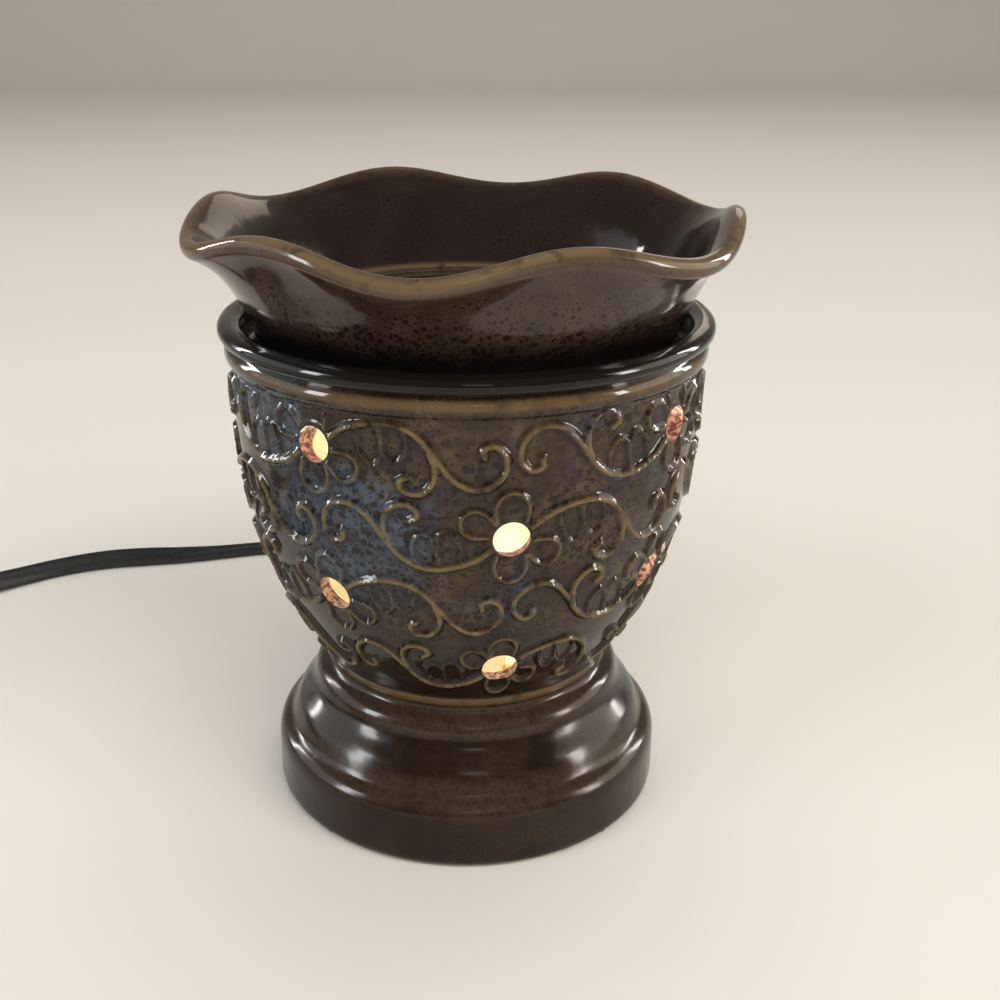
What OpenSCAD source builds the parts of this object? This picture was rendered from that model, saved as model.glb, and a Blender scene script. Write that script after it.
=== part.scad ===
// Electric wax warmer: a glazed ceramic lantern body with light holes, a lobed wax dish that lifts off,
// a screw-in globe bulb on a steel base plate, and a flat twin lead with an inline switch and a plug.
// Millimetres, +Z up. The origin is the centre of the foot on the table. The lead leaves at the back, +Y.

/* [Foot] */
// Thickness of the rubber pads under the foot ring
pad_t = 0.8; // [0.6:0.1:2]
// Radius of each pad
pad_r = 3; // [2:0.1:3.4]
// Number of pads
pad_count = 4; // [3:1:6]
// Outer radius of the foot flange
foot_r = 50.7; // [49:0.1:55]
// Rounding of the flange's lower edge
foot_edge = 1.2; // [0.8:0.1:3]
// Radius of the open underside of the foot
foot_bore_r = 43; // [40:0.1:43.5]
// Height of the flange's straight side
flange_h = 12.2; // [10:0.1:15]
// Width of the flange's rounded upper edge
flange_round_w = 3.5; // [2:0.1:4.5]
// Height of the flange's rounded upper edge
flange_round_h = 5; // [3:0.1:6]
// Radius of the inner corner above the flange
step_r = 45.2; // [44:0.1:46.5]
// Height of the slope from the flange up to that corner
step_h = 5; // [3:0.1:7]
// Radius of the upper foot ring
ring_r = 40.2; // [38.5:0.1:42]
// Height of the flare from the corner up to the ring
flare_h = 8; // [6:0.1:12]
// Height of the ring's rounded edge
ring_h = 4.7; // [3:0.1:6]

/* [Bowl] */
// Radius of the neck between foot and bowl
neck_r = 36.1; // [34:0.1:37.5]
// Height of the neck's groove
neck_h = 1.7; // [1:0.1:3]
// Radius of the thin collar under the bowl
collar_r = 37.1; // [36.3:0.1:38.2]
// Height of that collar
collar_h = 2.6; // [2:0.1:4]
// Largest radius of the bowl's wall
bowl_r = 57.2; // [54:0.1:59]
// Height of the bowl's curve
bowl_h = 74; // [70:0.5:84]
// How far the bowl's curve leaves the collar along its first slope
bowl_swell = 33; // [28:0.5:40]
// Slope of the wall where the bowl starts, in degrees
bowl_slope = 55; // [45:1:62]
// How far the bowl's wall runs upright at its top
bowl_upright = 22; // [15:0.5:35]
// Thickness of the ceramic wall
wall_t = 3.6; // [3.2:0.1:5.5]
// Plain height between the bowl's curve and the bead band
plain_h = 3.2; // [1:0.1:6]
// Height of the rounded bead band under the lip
band_h = 4.6; // [3:0.1:6]
// How far the bead band stands proud of the wall
band_proud = 1.4; // [0.4:0.1:2]
// Groove between bead band and lip
band_gap = 0.4; // [0.2:0.1:2]
// Outer radius of the rolled lip
lip_r = 60; // [58:0.1:63]
// Width of the rolled lip
lip_w = 6; // [5:0.1:7]
// Height of the rolled lip
lip_h = 4.8; // [3:0.1:6]
// Depth of the dish's ledge below the lip's top
ledge_depth = 8; // [6:0.1:10]
// Inner radius of the ledge
ledge_r = 45.5; // [43:0.1:46.5]
// Thickness of the ledge
ledge_t = 6; // [4:0.1:8]
// Height of the slope under the ledge
ledge_slope_h = 7; // [5:0.1:9]

/* [Light holes] */
// Radius of each light hole
hole_r = 4.1; // [3:0.1:5]
// Holes in each row
hole_count = 4; // [3:1:6]
// Rows of holes, one above the other
hole_rows = 4; // [1:1:4]
// Height of the lowest row above the collar
hole_rise = 12.6; // [11:0.1:16]
// Height from row to row
hole_step = 18.6; // [14:0.1:19]
// Direction of the first hole of the even rows, in degrees
hole_turn = 10; // [0:1:45]

/* [Scroll relief] */
// Height of the scroll relief over the bowl's wall
scroll_h = 0.85; // [0.5:0.05:1.2]
// Half the width of the scroll's stems at their foot
scroll_half = 1.25; // [0.9:0.05:1.4]
// Half the width of the petals' outlines at their foot
petal_half = 1; // [0.7:0.05:1.2]

/* [Dish] */
// Gap between the dish's foot and the lip
dish_gap = 3.5; // [2.5:0.1:5]
// Width of the dish's foot ring
dish_foot_w = 4.5; // [3:0.1:4.6]
// Height of the dish's foot ring
dish_foot_h = 3; // [2:0.1:4]
// Thickness of the dish's wall
dish_wall = 4.5; // [3.5:0.1:5.5]
// Thickness of the dish's floor
dish_floor_t = 5; // [4:0.1:6]
// Radius of the rounded rim's centre line
rim_r = 63.7; // [61:0.1:66]
// Height of the rim's centre line above the ledge
rim_h = 29.1; // [26:0.1:34]
// Number of lobes round the rim
lobe_count = 6; // [4:1:8]
// How far the rim rises and falls
lobe_rise = 2.5; // [0:0.1:3.5]
// How far the rim swings out and in
lobe_flare = 1.1; // [0:0.1:2]
// Direction of the first low lobe, in degrees
lobe_turn = 20; // [0:1:59]

/* [Base plate] */
// Thickness of the steel base plate
plate_t = 1.2; // [0.8:0.1:2]
// Height of the plate's underside above the foot ring
plate_rise = 2.6; // [2.2:0.1:4]
// Clearance of the plate in the foot
plate_clear = 0.4; // [0.2:0.1:1]
// Depth of the ceramic lugs that the plate is screwed to
lug_l = 12; // [10:0.5:14]
// Width of each lug
lug_w = 13; // [10:0.5:16]
// Height of each lug
lug_h = 10; // [9:0.5:13]
// Radius of the nylon plug in each lug
plug_r = 3; // [2.4:0.1:3.6]
// Length of the nylon plug
plug_l = 8; // [6:0.5:8.5]
// Shank radius of the plate screws
screw_r = 1.4; // [1:0.1:1.8]
// Head radius of the plate screws
screw_head_r = 2.8; // [2.4:0.1:3.2]
// Head height of the plate screws
screw_head_h = 1.6; // [1:0.1:1.8]
// Length of the plate screws under the head
screw_l = 8; // [6:0.5:8.5]

/* [Socket] */
// Sheet thickness of the socket bracket
bracket_t = 1; // [0.8:0.1:1.6]
// Width of the bracket
bracket_w = 16; // [12:0.5:20]
// Height of the bracket's bridge above the plate
bracket_h = 8.4; // [7:0.1:12]
// Half length of the bracket's bridge
bracket_half = 13; // [12.5:0.5:16]
// Length of each bracket foot
bracket_foot = 10; // [8:0.5:12]
// Shank radius of the bracket rivets
rivet_r = 1.6; // [1.2:0.1:2]
// Head radius of the rivets
rivet_head_r = 2.8; // [2.3:0.1:3.4]
// Head height of the rivets
rivet_head_h = 0.9; // [0.6:0.1:1.2]
// Outer radius of the socket's insulating body
socket_r = 10.5; // [10:0.1:12]
// Height of the socket's body
socket_h = 25; // [22:0.5:30]
// Thickness of the socket's floor
socket_floor = 4.5; // [3.5:0.1:6]
// Thickness of the centre contact
contact_t = 0.8; // [0.5:0.1:1.2]
// Wall of the threaded brass shell
shell_t = 0.5; // [0.4:0.1:0.8]
// Height of the threaded brass shell
shell_h = 16; // [13:0.5:17]
// Thickness of the terminal strips
terminal_t = 0.8; // [0.5:0.1:1.2]
// Width of the terminal strips
terminal_w = 6; // [5:0.1:7]
// Height of the terminal strips
terminal_h = 10.5; // [9:0.1:12]

/* [Bulb] */
// Radius of the bulb's screw cap
cap_r = 5.85; // [5.6:0.05:6.2]
// Pitch of the cap's thread
cap_pitch = 2.54; // [2.4:0.01:2.7]
// Sheet thickness of the cap
cap_t = 0.35; // [0.25:0.05:0.5]
// Height of the cap
cap_h = 16; // [14:0.5:17]
// Radius of the glass globe
globe_r = 25; // [20:0.5:27]
// Length of the bulb from its tip to its top
bulb_l = 77; // [74:0.5:80]
// Thickness of the glass
glass_t = 0.6; // [0.5:0.1:1]
// Radius of the filament's arc
filament_r = 8; // [6:0.5:10]
// Thickness of the coiled filament
filament_d = 0.8; // [0.6:0.1:1.2]

/* [Cord] */
// Width of the flat twin lead
cord_w = 6.6; // [6:0.1:7]
// Thickness of the flat twin lead
cord_t = 3.3; // [3:0.1:3.5]
// Height of the lead's exit above the table
exit_z = 9.5; // [8.5:0.1:10.5]
// Neck radius of the strain relief in the foot's wall
relief_neck_r = 3.9; // [3.6:0.1:4.4]
// Flange radius of the strain relief
relief_flange_r = 6; // [5.4:0.1:7]
// Flange thickness of the strain relief
relief_flange_t = 2; // [1.5:0.1:3]
// Largest radius of the strain relief's taper
relief_r = 5; // [4.6:0.1:5.3]
// Radius at the thin end of the taper
relief_end_r = 4.2; // [3.9:0.1:4.5]
// Radius of each insulated lead inside the body
lead_r = 1.1; // [0.8:0.05:1.3]
// Outer radius of the coil's turns, along the lead's middle
coil_r = 42; // [40:0.5:44]
// Step from turn to turn of the coil
coil_step = 4.4; // [4.2:0.1:4.8]
// Step from layer to layer of the coil
coil_layer = 7.3; // [7.1:0.1:8]
// Turns in each layer, with the half turn that climbs shared between the two
coil_turns = 2.25; // [2.25:1:3.25]
// Sheet thickness of the tie round the coil
tie_t = 0.8; // [0.5:0.1:1]
// Width of the tie
tie_w = 8; // [5:0.5:10]

/* [Inline switch] */
// Length of the switch's housing
switch_l = 58; // [54:0.5:60]
// Width of the housing
switch_w = 20; // [19:0.5:22]
// Height of the housing
switch_h = 14; // [13:0.5:16]
// Wall of the housing
switch_wall = 1.8; // [1.4:0.1:2.2]
// Corner radius of the housing's outline
switch_corner = 6; // [3:0.5:8]
// Radius of the thumb wheel
wheel_r = 12.5; // [11.5:0.1:13.5]
// Thickness of the thumb wheel
wheel_t = 5; // [4:0.1:5.5]
// Number of finger notches round the wheel
wheel_notches = 20; // [12:1:24]
// Radius of the wheel's axle
axle_r = 1.5; // [1.2:0.1:2]

/* [Plug] */
// Length of the plug's body
plug_body_l = 24; // [20:0.5:28]
// Width of the plug's body
plug_body_w = 21; // [19:0.5:25]
// Thickness of the plug's body
plug_body_t = 13; // [12:0.5:15]
// Length of the plug's tapered strain relief
plug_tail_l = 16; // [12:0.5:20]
// Length of the blades outside the plug
blade_l = 16; // [14:0.5:18]
// Width of the blades
blade_w = 6.3; // [6:0.1:7]
// Thickness of the blades
blade_t = 1.5; // [1.3:0.1:1.7]
// Distance between the two blades
blade_gap = 12.7; // [12:0.1:13]

/* [Hidden] */
$fn = 96;

// Fits
fit = 0.05;
running = 0.05;
seat_gap = 0.1;
thread_gap = 0.12;
eps = 0.01;

// Heights of the body, stacked from the table up
foot_z = pad_t;
flange_z = foot_z + flange_h;
step_base_z = flange_z + flange_round_h;
step_z = step_base_z + step_h;
ring_z = step_z + flare_h;
neck_z = ring_z + ring_h;
collar_z = neck_z + neck_h;
bowl_z = collar_z + collar_h;
plain_z = bowl_z + bowl_h;
band_z = plain_z + plain_h;
lip_z = band_z + band_h + band_gap;
lip_top_z = lip_z + lip_h;
ledge_z = lip_top_z - ledge_depth;
lip_inner_r = lip_r - lip_w;
ledge_under_z = ledge_z - ledge_t;
// Lean and share of the height at both ends of the foot's flare
flare_lean = 1.5;
flare_start = 0.35;
flare_end = 0.4;
ring_lean = 0.2;
// Inset and share of the height of the ring's rounded edge, and the groove over the bead band
ring_inset = 1;
ring_round = 0.8;
band_inset = 0.2;
// How far the inside corners lie from the ring and from the flange's top
ring_under = 2;
bore_over = 1;

// Base plate, socket and bulb, stacked from the foot ring up
plate_z = foot_z + plate_rise;
plate_top_z = plate_z + plate_t;
plate_r = foot_bore_r - plate_clear;
lug_mid_r = foot_bore_r - lug_l / 2;
lug_angles = [270, 30, 150];
bridge_z = plate_top_z + bracket_h;
socket_z = bridge_z + bracket_t;
socket_floor_z = socket_z + socket_floor;
contact_top_z = socket_floor_z + contact_t;
shell_r = cap_r + thread_gap;
contact_r = shell_r - 2;
shell_lift = 1.5;
shell_z = contact_top_z + shell_lift;
terminal_lift = 1;
terminal_z = socket_floor_z + terminal_lift;
terminal_room = 0.3;
terminal_screw_z = terminal_z + 0.6 * terminal_h;
terminal_screw_l = 2.2;
terminal_head_r = screw_head_r - 0.3;
flat_x = socket_r - terminal_t;
socket_screw_x = 6;
socket_screw_l = socket_floor - 1;
socket_screw_room = 0.4;
slot_w = 0.8;
slot_share = 0.5;
rivet_x = bracket_half + bracket_foot / 2;
bulb_z = contact_top_z + seat_gap;
tip_h = 1.8;
insulator_h = 2.5;
insulator_z = bulb_z + tip_h;
cap_z = insulator_z + insulator_h;
cap_top_z = cap_z + cap_h;
thread_depth = 0.5;
thread_turns = 4;
thread_start = 1;
thread_steps = 6;
thread_top_z = cap_z + thread_start + cap_pitch * thread_turns;
globe_z = bulb_z + bulb_l - globe_r;
neck_glass_r = cap_r - cap_t - fit;
neck_glass_z = thread_top_z + fit;
globe_start = -60;
shoulder_rise = 0.5;
shoulder_reach = 5;
stem_r = 2;
stem_flare_h = 7;
stem_top_z = globe_z - 0.45 * globe_r;
filament_z = globe_z + 2;
// Radii of the cap's insulator and of the tip, at their lower and upper ends
insulator_r = [0.5 * cap_r, 0.85 * cap_r];
tip_r = [0.28 * cap_r, 0.4 * cap_r];

// The scroll work beside a hole, as degrees round and millimetres up the wall from the hole's middle,
// drawn for a cell of so many degrees and millimetres from hole to hole
scroll_cell = [90, 18.6];
scroll_stem = [
    [6.5, 4.1], [9.5, 5.7], [13, 6.8], [17, 7.3], [20.5, 7], [23.6, 5.6], [26.6, 2.8], [29.2, -0.8],
    [32.2, -4.4], [36, -6.6], [40, -6.2], [43, -3.4], [43.4, 0.4], [41.2, 2.9], [38.6, 2.2]
];
scroll_branch = [[28, -0.5], [28.4, -3], [27.6, -6], [24.8, -8], [21.6, -7.5], [20.6, -5.5], [22.2, -4.3]];
side_petal = [[6, -6.3], [8.8, -7], [11, -5.2], [11.1, -2.6], [9, -0.8]];
end_petal = [[-3.7, -7.4], [-2.4, -10], [0, -11], [2.4, -10], [3.7, -7.4]];
// How deep the relief's feet lie in the wall, and the share of a line's width that is left at its end
scroll_sink = 0.4;
scroll_end = 0.6;
// How far to each side the wall's slope is read
slope_reach = 1;

// Dish
dish_foot_r = lip_inner_r - dish_gap;
dish_base_z = ledge_z + dish_foot_h;
dish_mid_z = dish_base_z + dish_floor_t - dish_wall / 2;
dish_floor_r = dish_foot_r - dish_foot_w;
dish_foot_draft = 0.2;
// How the wall's curve leaves the floor, and how it runs into the rim, mean and share of the lobes
dish_heel = [6, 1.8];
rim_run_r = 10;
rim_run_z = 7.3;
lobe_run_r = 1.9;
lobe_run_z = 2.4;
dish_segments = 72;
wall_start = 0.3;
wall_steps = 10;
rim_steps = 6;

// Cord
relief_y = foot_r + fit;
relief_taper_y = relief_y + relief_flange_t;
relief_end_y = 75;
relief_inner_y = foot_bore_r - 2.4;
relief_collar_r = relief_neck_r + 1;
relief_collar_t = 1.6;
lead_gap = cord_t / 2;
switch_at = [-182, 49];
switch_mid_z = switch_h / 2;
switch_screw_y = 0.36 * switch_l;
wheel_room = 0.5;
notch_r = 0.9;
notch_out = 0.2;
contact_room = 3;
contact_span = 0.62 * switch_l;
contact_x = 0.28 * switch_w;
contact_blade_t = 0.8;
contact_end = 1;
contact_under = 0.3;
screw_sink = 0.4;
head_room = 0.2;
screw_end = 1;
coil_at = [-200, -50];
tie_gap = 0.8;
tie_under = 0.1;
tie_lift = 0.2;
tie_turn = 0.75;
coil_floor = tie_t + tie_lift;
coil_low_z = coil_floor + cord_w / 2;
coil_high_z = coil_low_z + coil_layer;
loop_rings = 24;
run_sides = 8;
coil_sides = 6;
plug_at = [-232, 10];
plug_mid_z = plug_body_t / 2;
plug_corner = 4;
plug_tail_edge = 0.6;
blade_root = 8;
blade_hole_r = 1.6;
blade_hole_end = 4;
coil_lead = cord_w;

// Points of the lead's free stretches: place, height of its middle, and roll from on edge, 0, to flat, 90
to_switch = [
    [0, relief_end_y, exit_z, 0],
    [0, 84, exit_z, 0],
    [-1, 95, 8, 0],
    [-6, 107, 5.5, 10],
    [-15, 119, 3.6, 30],
    [-28, 129, 2.8, 55],
    [-44, 136, 2.1, 80],
    [-61, 139, 1.8, 90],
    [-77, 138, 1.8, 90],
    [-92, 134, 2, 82],
    [-106, 130, 2.6, 62],
    [-120, 127, 3.2, 35],
    [-134, 123.5, 3.4, 12],
    [-148, 117, 3.4, 0],
    [-160, 108.5, 3.6, 8],
    [-171, 99, 4.6, 30],
    [-178, 91, 6, 62],
    [switch_at.x, 85, switch_mid_z, 90],
    [switch_at.x, switch_at.y + switch_l / 2, switch_mid_z, 90]
];
to_coil = [
    [switch_at.x, switch_at.y - switch_l / 2, switch_mid_z, 90],
    [switch_at.x, 13, switch_mid_z, 90],
    [-180, 6, 5.8, 70],
    [-175, -3, 4.7, 40],
    [-168, -14, 4.3, 15],
    [-161, -26, 4.3, 5],
    [coil_at.x + coil_r, coil_at.y + 2 * coil_lead, coil_low_z, 0],
    [coil_at.x + coil_r, coil_at.y + coil_lead, coil_low_z, 0]
];
to_plug = [
    [coil_at.x - coil_r, coil_at.y + coil_lead, coil_high_z, 0],
    [coil_at.x - coil_r, coil_at.y + 2 * coil_lead, coil_high_z, 0],
    [-240, -25, 10.5, 25],
    [-236, -12, 8.2, 65],
    [plug_at.x, 0, plug_mid_z, 90],
    [plug_at.x, plug_at.y, plug_mid_z, 90]
];
// The live lead from the strain relief up to its terminal; the neutral one is its mirror image
live_route = [
    [lead_gap, relief_inner_y, exit_z, 0],
    [lead_gap, 34, exit_z, 0],
    [4, 27, 10.5, 0],
    [8, 19, 13.5, 0],
    [11, 12, 17, 0],
    [socket_r + lead_r, 7, terminal_z + 2.2, 0],
    [socket_r + lead_r, terminal_w / 2, terminal_z + 2.5, 0]
];

// Curves and sweeps
function bez(a, b, c, d, t) =
    a * pow(1 - t, 3) + 3 * b * t * pow(1 - t, 2) + 3 * c * t * t * (1 - t) + d * pow(t, 3);
function bez_way(a, b, c, d, t) =
    (b - a) * pow(1 - t, 2) + 2 * (c - b) * t * (1 - t) + (d - c) * t * t;
function bez_line(a, b, c, d, n) = [for (i = [0 : n]) bez(a, b, c, d, i / n)];
function arc(centre, rx, ry, from, to, n) =
    [for (i = [0 : n])
        let (a = from + (to - from) * i / n)
        centre + [rx * cos(a), ry * sin(a)]];
function unit(v) = v / norm(v);
function place(p) = [p[0], p[1], p[2]];
function heading(route, i) =
    unit(place(route[min(i + 1, len(route) - 1)]) - place(route[max(i - 1, 0)]));
function mirrored(route) = [for (p = route) [-p[0], p[1], p[2], p[3]]];

// One ring of a flat lead: a circle of its thickness, drawn apart to its width
function lead_ring(p, way, w, t, sides) =
    let (
        side = unit(cross(way, [0, 0, 1])),
        up = cross(side, way),
        wide = up * cos(p[3]) + side * sin(p[3]),
        thin = side * cos(p[3]) - up * sin(p[3]),
        across = t / 2 / cos(180 / sides),
        along = sides % 4 == 0 ? across : t / 2
    )
    [for (k = [0 : sides - 1])
        let (a = 360 * (k + 0.5) / sides)
        place(p) + thin * across * cos(a) + wide * (along * sin(a) + sign(sin(a)) * (w - t) / 2)];

// The triangles of a tube of equal rings, with both ends closed
function tube_faces(rings, sides) =
    let (last = (rings - 1) * sides)
    concat(
        [for (k = [1 : sides - 2]) [0, k + 1, k]],
        [for (k = [1 : sides - 2]) [last, last + k, last + k + 1]],
        [for (i = [0 : rings - 2], k = [0 : sides - 1])
            [i * sides + k, i * sides + (k + 1) % sides, (i + 1) * sides + k]],
        [for (i = [0 : rings - 2], k = [0 : sides - 1])
            [i * sides + (k + 1) % sides, (i + 1) * sides + (k + 1) % sides, (i + 1) * sides + k]]
    );

// The coil: it spirals in on the table, climbs where the spiral turns, and spirals out on top
coil_rings = round(2 * coil_turns * loop_rings);
function coil_climb(turn) = min(1, max(0, (turn - coil_turns + 0.25) / 0.5));
function coil_point(i) =
    let (
        turn = i / loop_rings,
        r = coil_r - coil_step * min(turn, 2 * coil_turns - turn),
        a = -360 * turn
    )
    [coil_at.x + r * cos(a), coil_at.y + r * sin(a), coil_low_z + coil_layer * coil_climb(turn), 0];
coil_route = concat(
    [[coil_at.x + coil_r, coil_at.y + coil_lead, coil_low_z, 0]],
    [for (i = [0 : coil_rings]) coil_point(i)],
    [[coil_at.x - coil_r, coil_at.y + coil_lead, coil_high_z, 0]]
);
coil_last = len(coil_route) - 1;
function coil_gap(i, j) =
    let (
        apart = place(coil_route[j]) - place(coil_route[i]),
        rise = max(0, abs(apart[2]) - (cord_w - cord_t))
    )
    norm([apart[0], apart[1], rise]) - cord_t;
coil_least_gap = min([for (i = [0 : coil_last], j = [i + loop_rings / 2 : coil_last]) coil_gap(i, j)]);
echo(coil_least_gap = coil_least_gap);

// The body's outline, from the foot ring up the outside to the lip and down the inside
bowl_start = [collar_r, bowl_z];
bowl_end = [bowl_r, plain_z];
bowl_out = bowl_start + bowl_swell * [cos(bowl_slope), sin(bowl_slope)];
bowl_up = bowl_end - [0, bowl_upright];
function inward(points) = [for (p = points) p - [wall_t, 0]];
bowl_line = bez_line(bowl_start, bowl_out, bowl_up, bowl_end, 28);
bowl_inner = [for (p = inward(bowl_line)) if (p.y < ledge_under_z - ledge_slope_h) p];
body_outside = concat(
    arc([foot_r - foot_edge, foot_z + foot_edge], foot_edge, foot_edge, -90, 0, 6),
    arc([foot_r - flange_round_w, flange_z], flange_round_w, flange_round_h, 0, 90, 8),
    bez_line([step_r, step_z], [step_r - flare_lean, step_z + flare_h * flare_start],
        [ring_r + ring_lean, ring_z - flare_h * flare_end], [ring_r, ring_z], 8),
    arc([neck_r + ring_inset, ring_z], ring_r - neck_r - ring_inset, ring_h * ring_round, 10, 80, 6),
    [[neck_r, neck_z]],
    arc([neck_r, collar_z + collar_h / 2], collar_r - neck_r, collar_h / 2, -80, 0, 4),
    bowl_line,
    [[bowl_r, band_z]],
    arc([bowl_r, band_z + band_h / 2], band_proud, band_h / 2, -80, 80, 8),
    [[bowl_r - band_inset, band_z + band_h]],
    arc([lip_r - lip_w / 2, lip_z + lip_h / 2], lip_w / 2, lip_h / 2, -80, 180, 20)
);
body_inside = concat(
    [[lip_inner_r, ledge_z], [ledge_r, ledge_z], [ledge_r, ledge_under_z]],
    [for (i = [len(bowl_inner) - 1 : -1 : 0]) bowl_inner[i]],
    [[neck_r - wall_t, neck_z], [ring_r - wall_t, ring_z - ring_under]],
    [[foot_bore_r, step_base_z + bore_over]],
    [[foot_bore_r, foot_z]]
);

module at_angles(angles, r) {
    for (a = angles) {
        rotate([0, 0, a]) {
            translate([r, 0, 0]) {
                children();
            }
        }
    }
}

// Rows of light holes, every other row half a step round
function hole_angle(row, k) = hole_turn + (k + (row % 2) / 2) * 360 / hole_count - 90;
function hole_z(row) = bowl_z + hole_rise + row * hole_step;

module light_holes() {
    for (row = [0 : hole_rows - 1]) {
        for (k = [0 : hole_count - 1]) {
            rotate([0, 0, hole_angle(row, k)]) {
                translate([0, 0, hole_z(row)]) {
                    rotate([0, 90, 0]) {
                        cylinder(r = hole_r, h = lip_r);
                    }
                }
            }
        }
    }
}

// The bowl's wall by the way along its outline, up to the lip: place, and a point lifted off it
wall_line = concat(bowl_line, [[bowl_r, lip_z]]);
wall_last = len(wall_line) - 1;
function run_to(i) = i == 0 ? 0 : run_to(i - 1) + norm(wall_line[i] - wall_line[i - 1]);
wall_runs = [for (i = [0 : wall_last]) run_to(i)];
r_by_run = [for (i = [0 : wall_last]) [wall_runs[i], wall_line[i].x]];
z_by_run = [for (i = [0 : wall_last]) [wall_runs[i], wall_line[i].y]];
run_by_z = [for (i = [0 : wall_last]) [wall_line[i].y, wall_runs[i]]];
function on_wall(run) = [lookup(run, r_by_run), lookup(run, z_by_run)];
function off_wall(turn, run, lift) =
    let (
        way = unit(on_wall(run + slope_reach) - on_wall(run - slope_reach)),
        p = on_wall(run) + lift * [way.y, -way.x]
    )
    [p.x * cos(turn), p.x * sin(turn), p.y];

// One ring of a raised line: its two feet in the wall and its crest over it
function scroll_ring(line, i, turn, run, half) =
    let (
        last = len(line) - 1,
        spread = [360 / hole_count / scroll_cell.x, hole_step / scroll_cell.y],
        degree = PI / 180 * lookup(run, r_by_run),
        step = line[min(i + 1, last)] - line[max(i - 1, 0)],
        way = unit([step.x * spread.x * degree, step.y * spread.y]),
        wide = half * (1 - (1 - scroll_end) * i / last),
        at = [turn + line[i].x * spread.x, run + line[i].y * spread.y],
        across = wide * [-way.y / degree, way.x]
    )
    [
        off_wall(at.x + across.x, at.y + across.y, -scroll_sink),
        off_wall(at.x - across.x, at.y - across.y, -scroll_sink),
        off_wall(at.x, at.y, scroll_h)
    ];

module raised(line, turn, run, half) {
    rings = [for (i = [0 : len(line) - 1]) scroll_ring(line, i, turn, run, half)];
    polyhedron(
        points = [for (ring = rings, p = ring) p],
        faces = tube_faces(len(line), len(rings[0]))
    );
}

// The scroll work round every hole, each line drawn twice, the second time turned half round the hole
module scroll_relief() {
    for (row = [0 : hole_rows - 1], k = [0 : hole_count - 1], side = [-1, 1]) {
        turn = hole_angle(row, k);
        run = lookup(hole_z(row), run_by_z);
        raised(side * scroll_stem, turn, run, scroll_half);
        raised(side * scroll_branch, turn, run, scroll_half);
        raised(side * side_petal, turn, run, petal_half);
        raised(side * end_petal, turn, run, petal_half);
    }
}

module lug() {
    translate([-lug_l / 2, -lug_w / 2, plate_top_z]) {
        cube([lug_l + wall_t / 2, lug_w, lug_h]);
    }
}

module body_shell() {
    color("#4a3a32") {
        difference() {
            union() {
                rotate_extrude() {
                    polygon(concat(body_outside, body_inside));
                }
                at_angles(lug_angles, lug_mid_r) {
                    lug();
                }
                scroll_relief();
            }
            light_holes();
            at_angles(lug_angles, lug_mid_r) {
                translate([0, 0, plate_top_z - eps]) {
                    cylinder(r = plug_r + fit, h = plug_l + eps);
                }
            }
            translate([0, foot_bore_r - wall_t, exit_z]) {
                rotate([-90, 0, 0]) {
                    cylinder(r = relief_neck_r + fit, h = foot_r);
                }
            }
        }
    }
}

// The dish: a wall of even thickness along a curve that the lobes sway, closed by a rounded rim
function lobe(a) = cos(lobe_count * (a - lobe_turn));
function rim_at(a) = [rim_r + lobe_flare * lobe(a), ledge_z + rim_h - lobe_rise * lobe(a)];
function wall_at(a) =
    let (
        start = [dish_floor_r, dish_mid_z],
        rim = rim_at(a),
        run = [rim_run_r + lobe_run_r * lobe(a), rim_run_z - lobe_run_z * lobe(a)]
    )
    [start, start + dish_heel, rim - run, rim];
function wall_side(c, t, side) =
    let (way = unit(bez_way(c[0], c[1], c[2], c[3], t)))
    bez(c[0], c[1], c[2], c[3], t) + side * dish_wall / 2 * [way.y, -way.x];
function rim_round(c, turn) =
    let (way = unit(bez_way(c[0], c[1], c[2], c[3], 1)))
    c[3] + dish_wall / 2 * (cos(turn) * [way.y, -way.x] + sin(turn) * way);
function dish_section(a) =
    let (c = wall_at(a))
    concat(
        [[dish_floor_r, dish_base_z], [dish_floor_r, ledge_z], [dish_foot_r, ledge_z]],
        [[dish_foot_r + dish_foot_draft, ledge_z + dish_foot_h]],
        [for (i = [0 : wall_steps]) wall_side(c, wall_start + (1 - wall_start) * i / wall_steps, 1)],
        [for (i = [1 : rim_steps - 1]) rim_round(c, 180 * i / rim_steps)],
        [for (i = [0 : wall_steps]) wall_side(c, 1 - i / wall_steps, -1)]
    );
dish_sections = [for (j = [0 : dish_segments - 1]) dish_section(360 * j / dish_segments)];
dish_rows = len(dish_sections[0]);
dish_points = concat(
    [for (i = [0 : dish_rows - 1], j = [0 : dish_segments - 1])
        let (a = 360 * j / dish_segments, p = dish_sections[j][i])
        [p.x * cos(a), p.x * sin(a), p.y]],
    [[0, 0, dish_base_z], [0, 0, dish_sections[0][dish_rows - 1].y]]
);
function dish_at(i, j) = i * dish_segments + j % dish_segments;
dish_faces = concat(
    [for (j = [0 : dish_segments - 1]) [dish_rows * dish_segments, dish_at(0, j), dish_at(0, j + 1)]],
    [for (i = [0 : dish_rows - 2], j = [0 : dish_segments - 1])
        [dish_at(i, j), dish_at(i + 1, j), dish_at(i, j + 1)]],
    [for (i = [0 : dish_rows - 2], j = [0 : dish_segments - 1])
        [dish_at(i, j + 1), dish_at(i + 1, j), dish_at(i + 1, j + 1)]],
    [for (j = [0 : dish_segments - 1])
        [dish_rows * dish_segments + 1, dish_at(dish_rows - 1, j + 1), dish_at(dish_rows - 1, j)]]
);

module wax_dish() {
    color("#5a4438") {
        polyhedron(points = dish_points, faces = dish_faces);
    }
}

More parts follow.
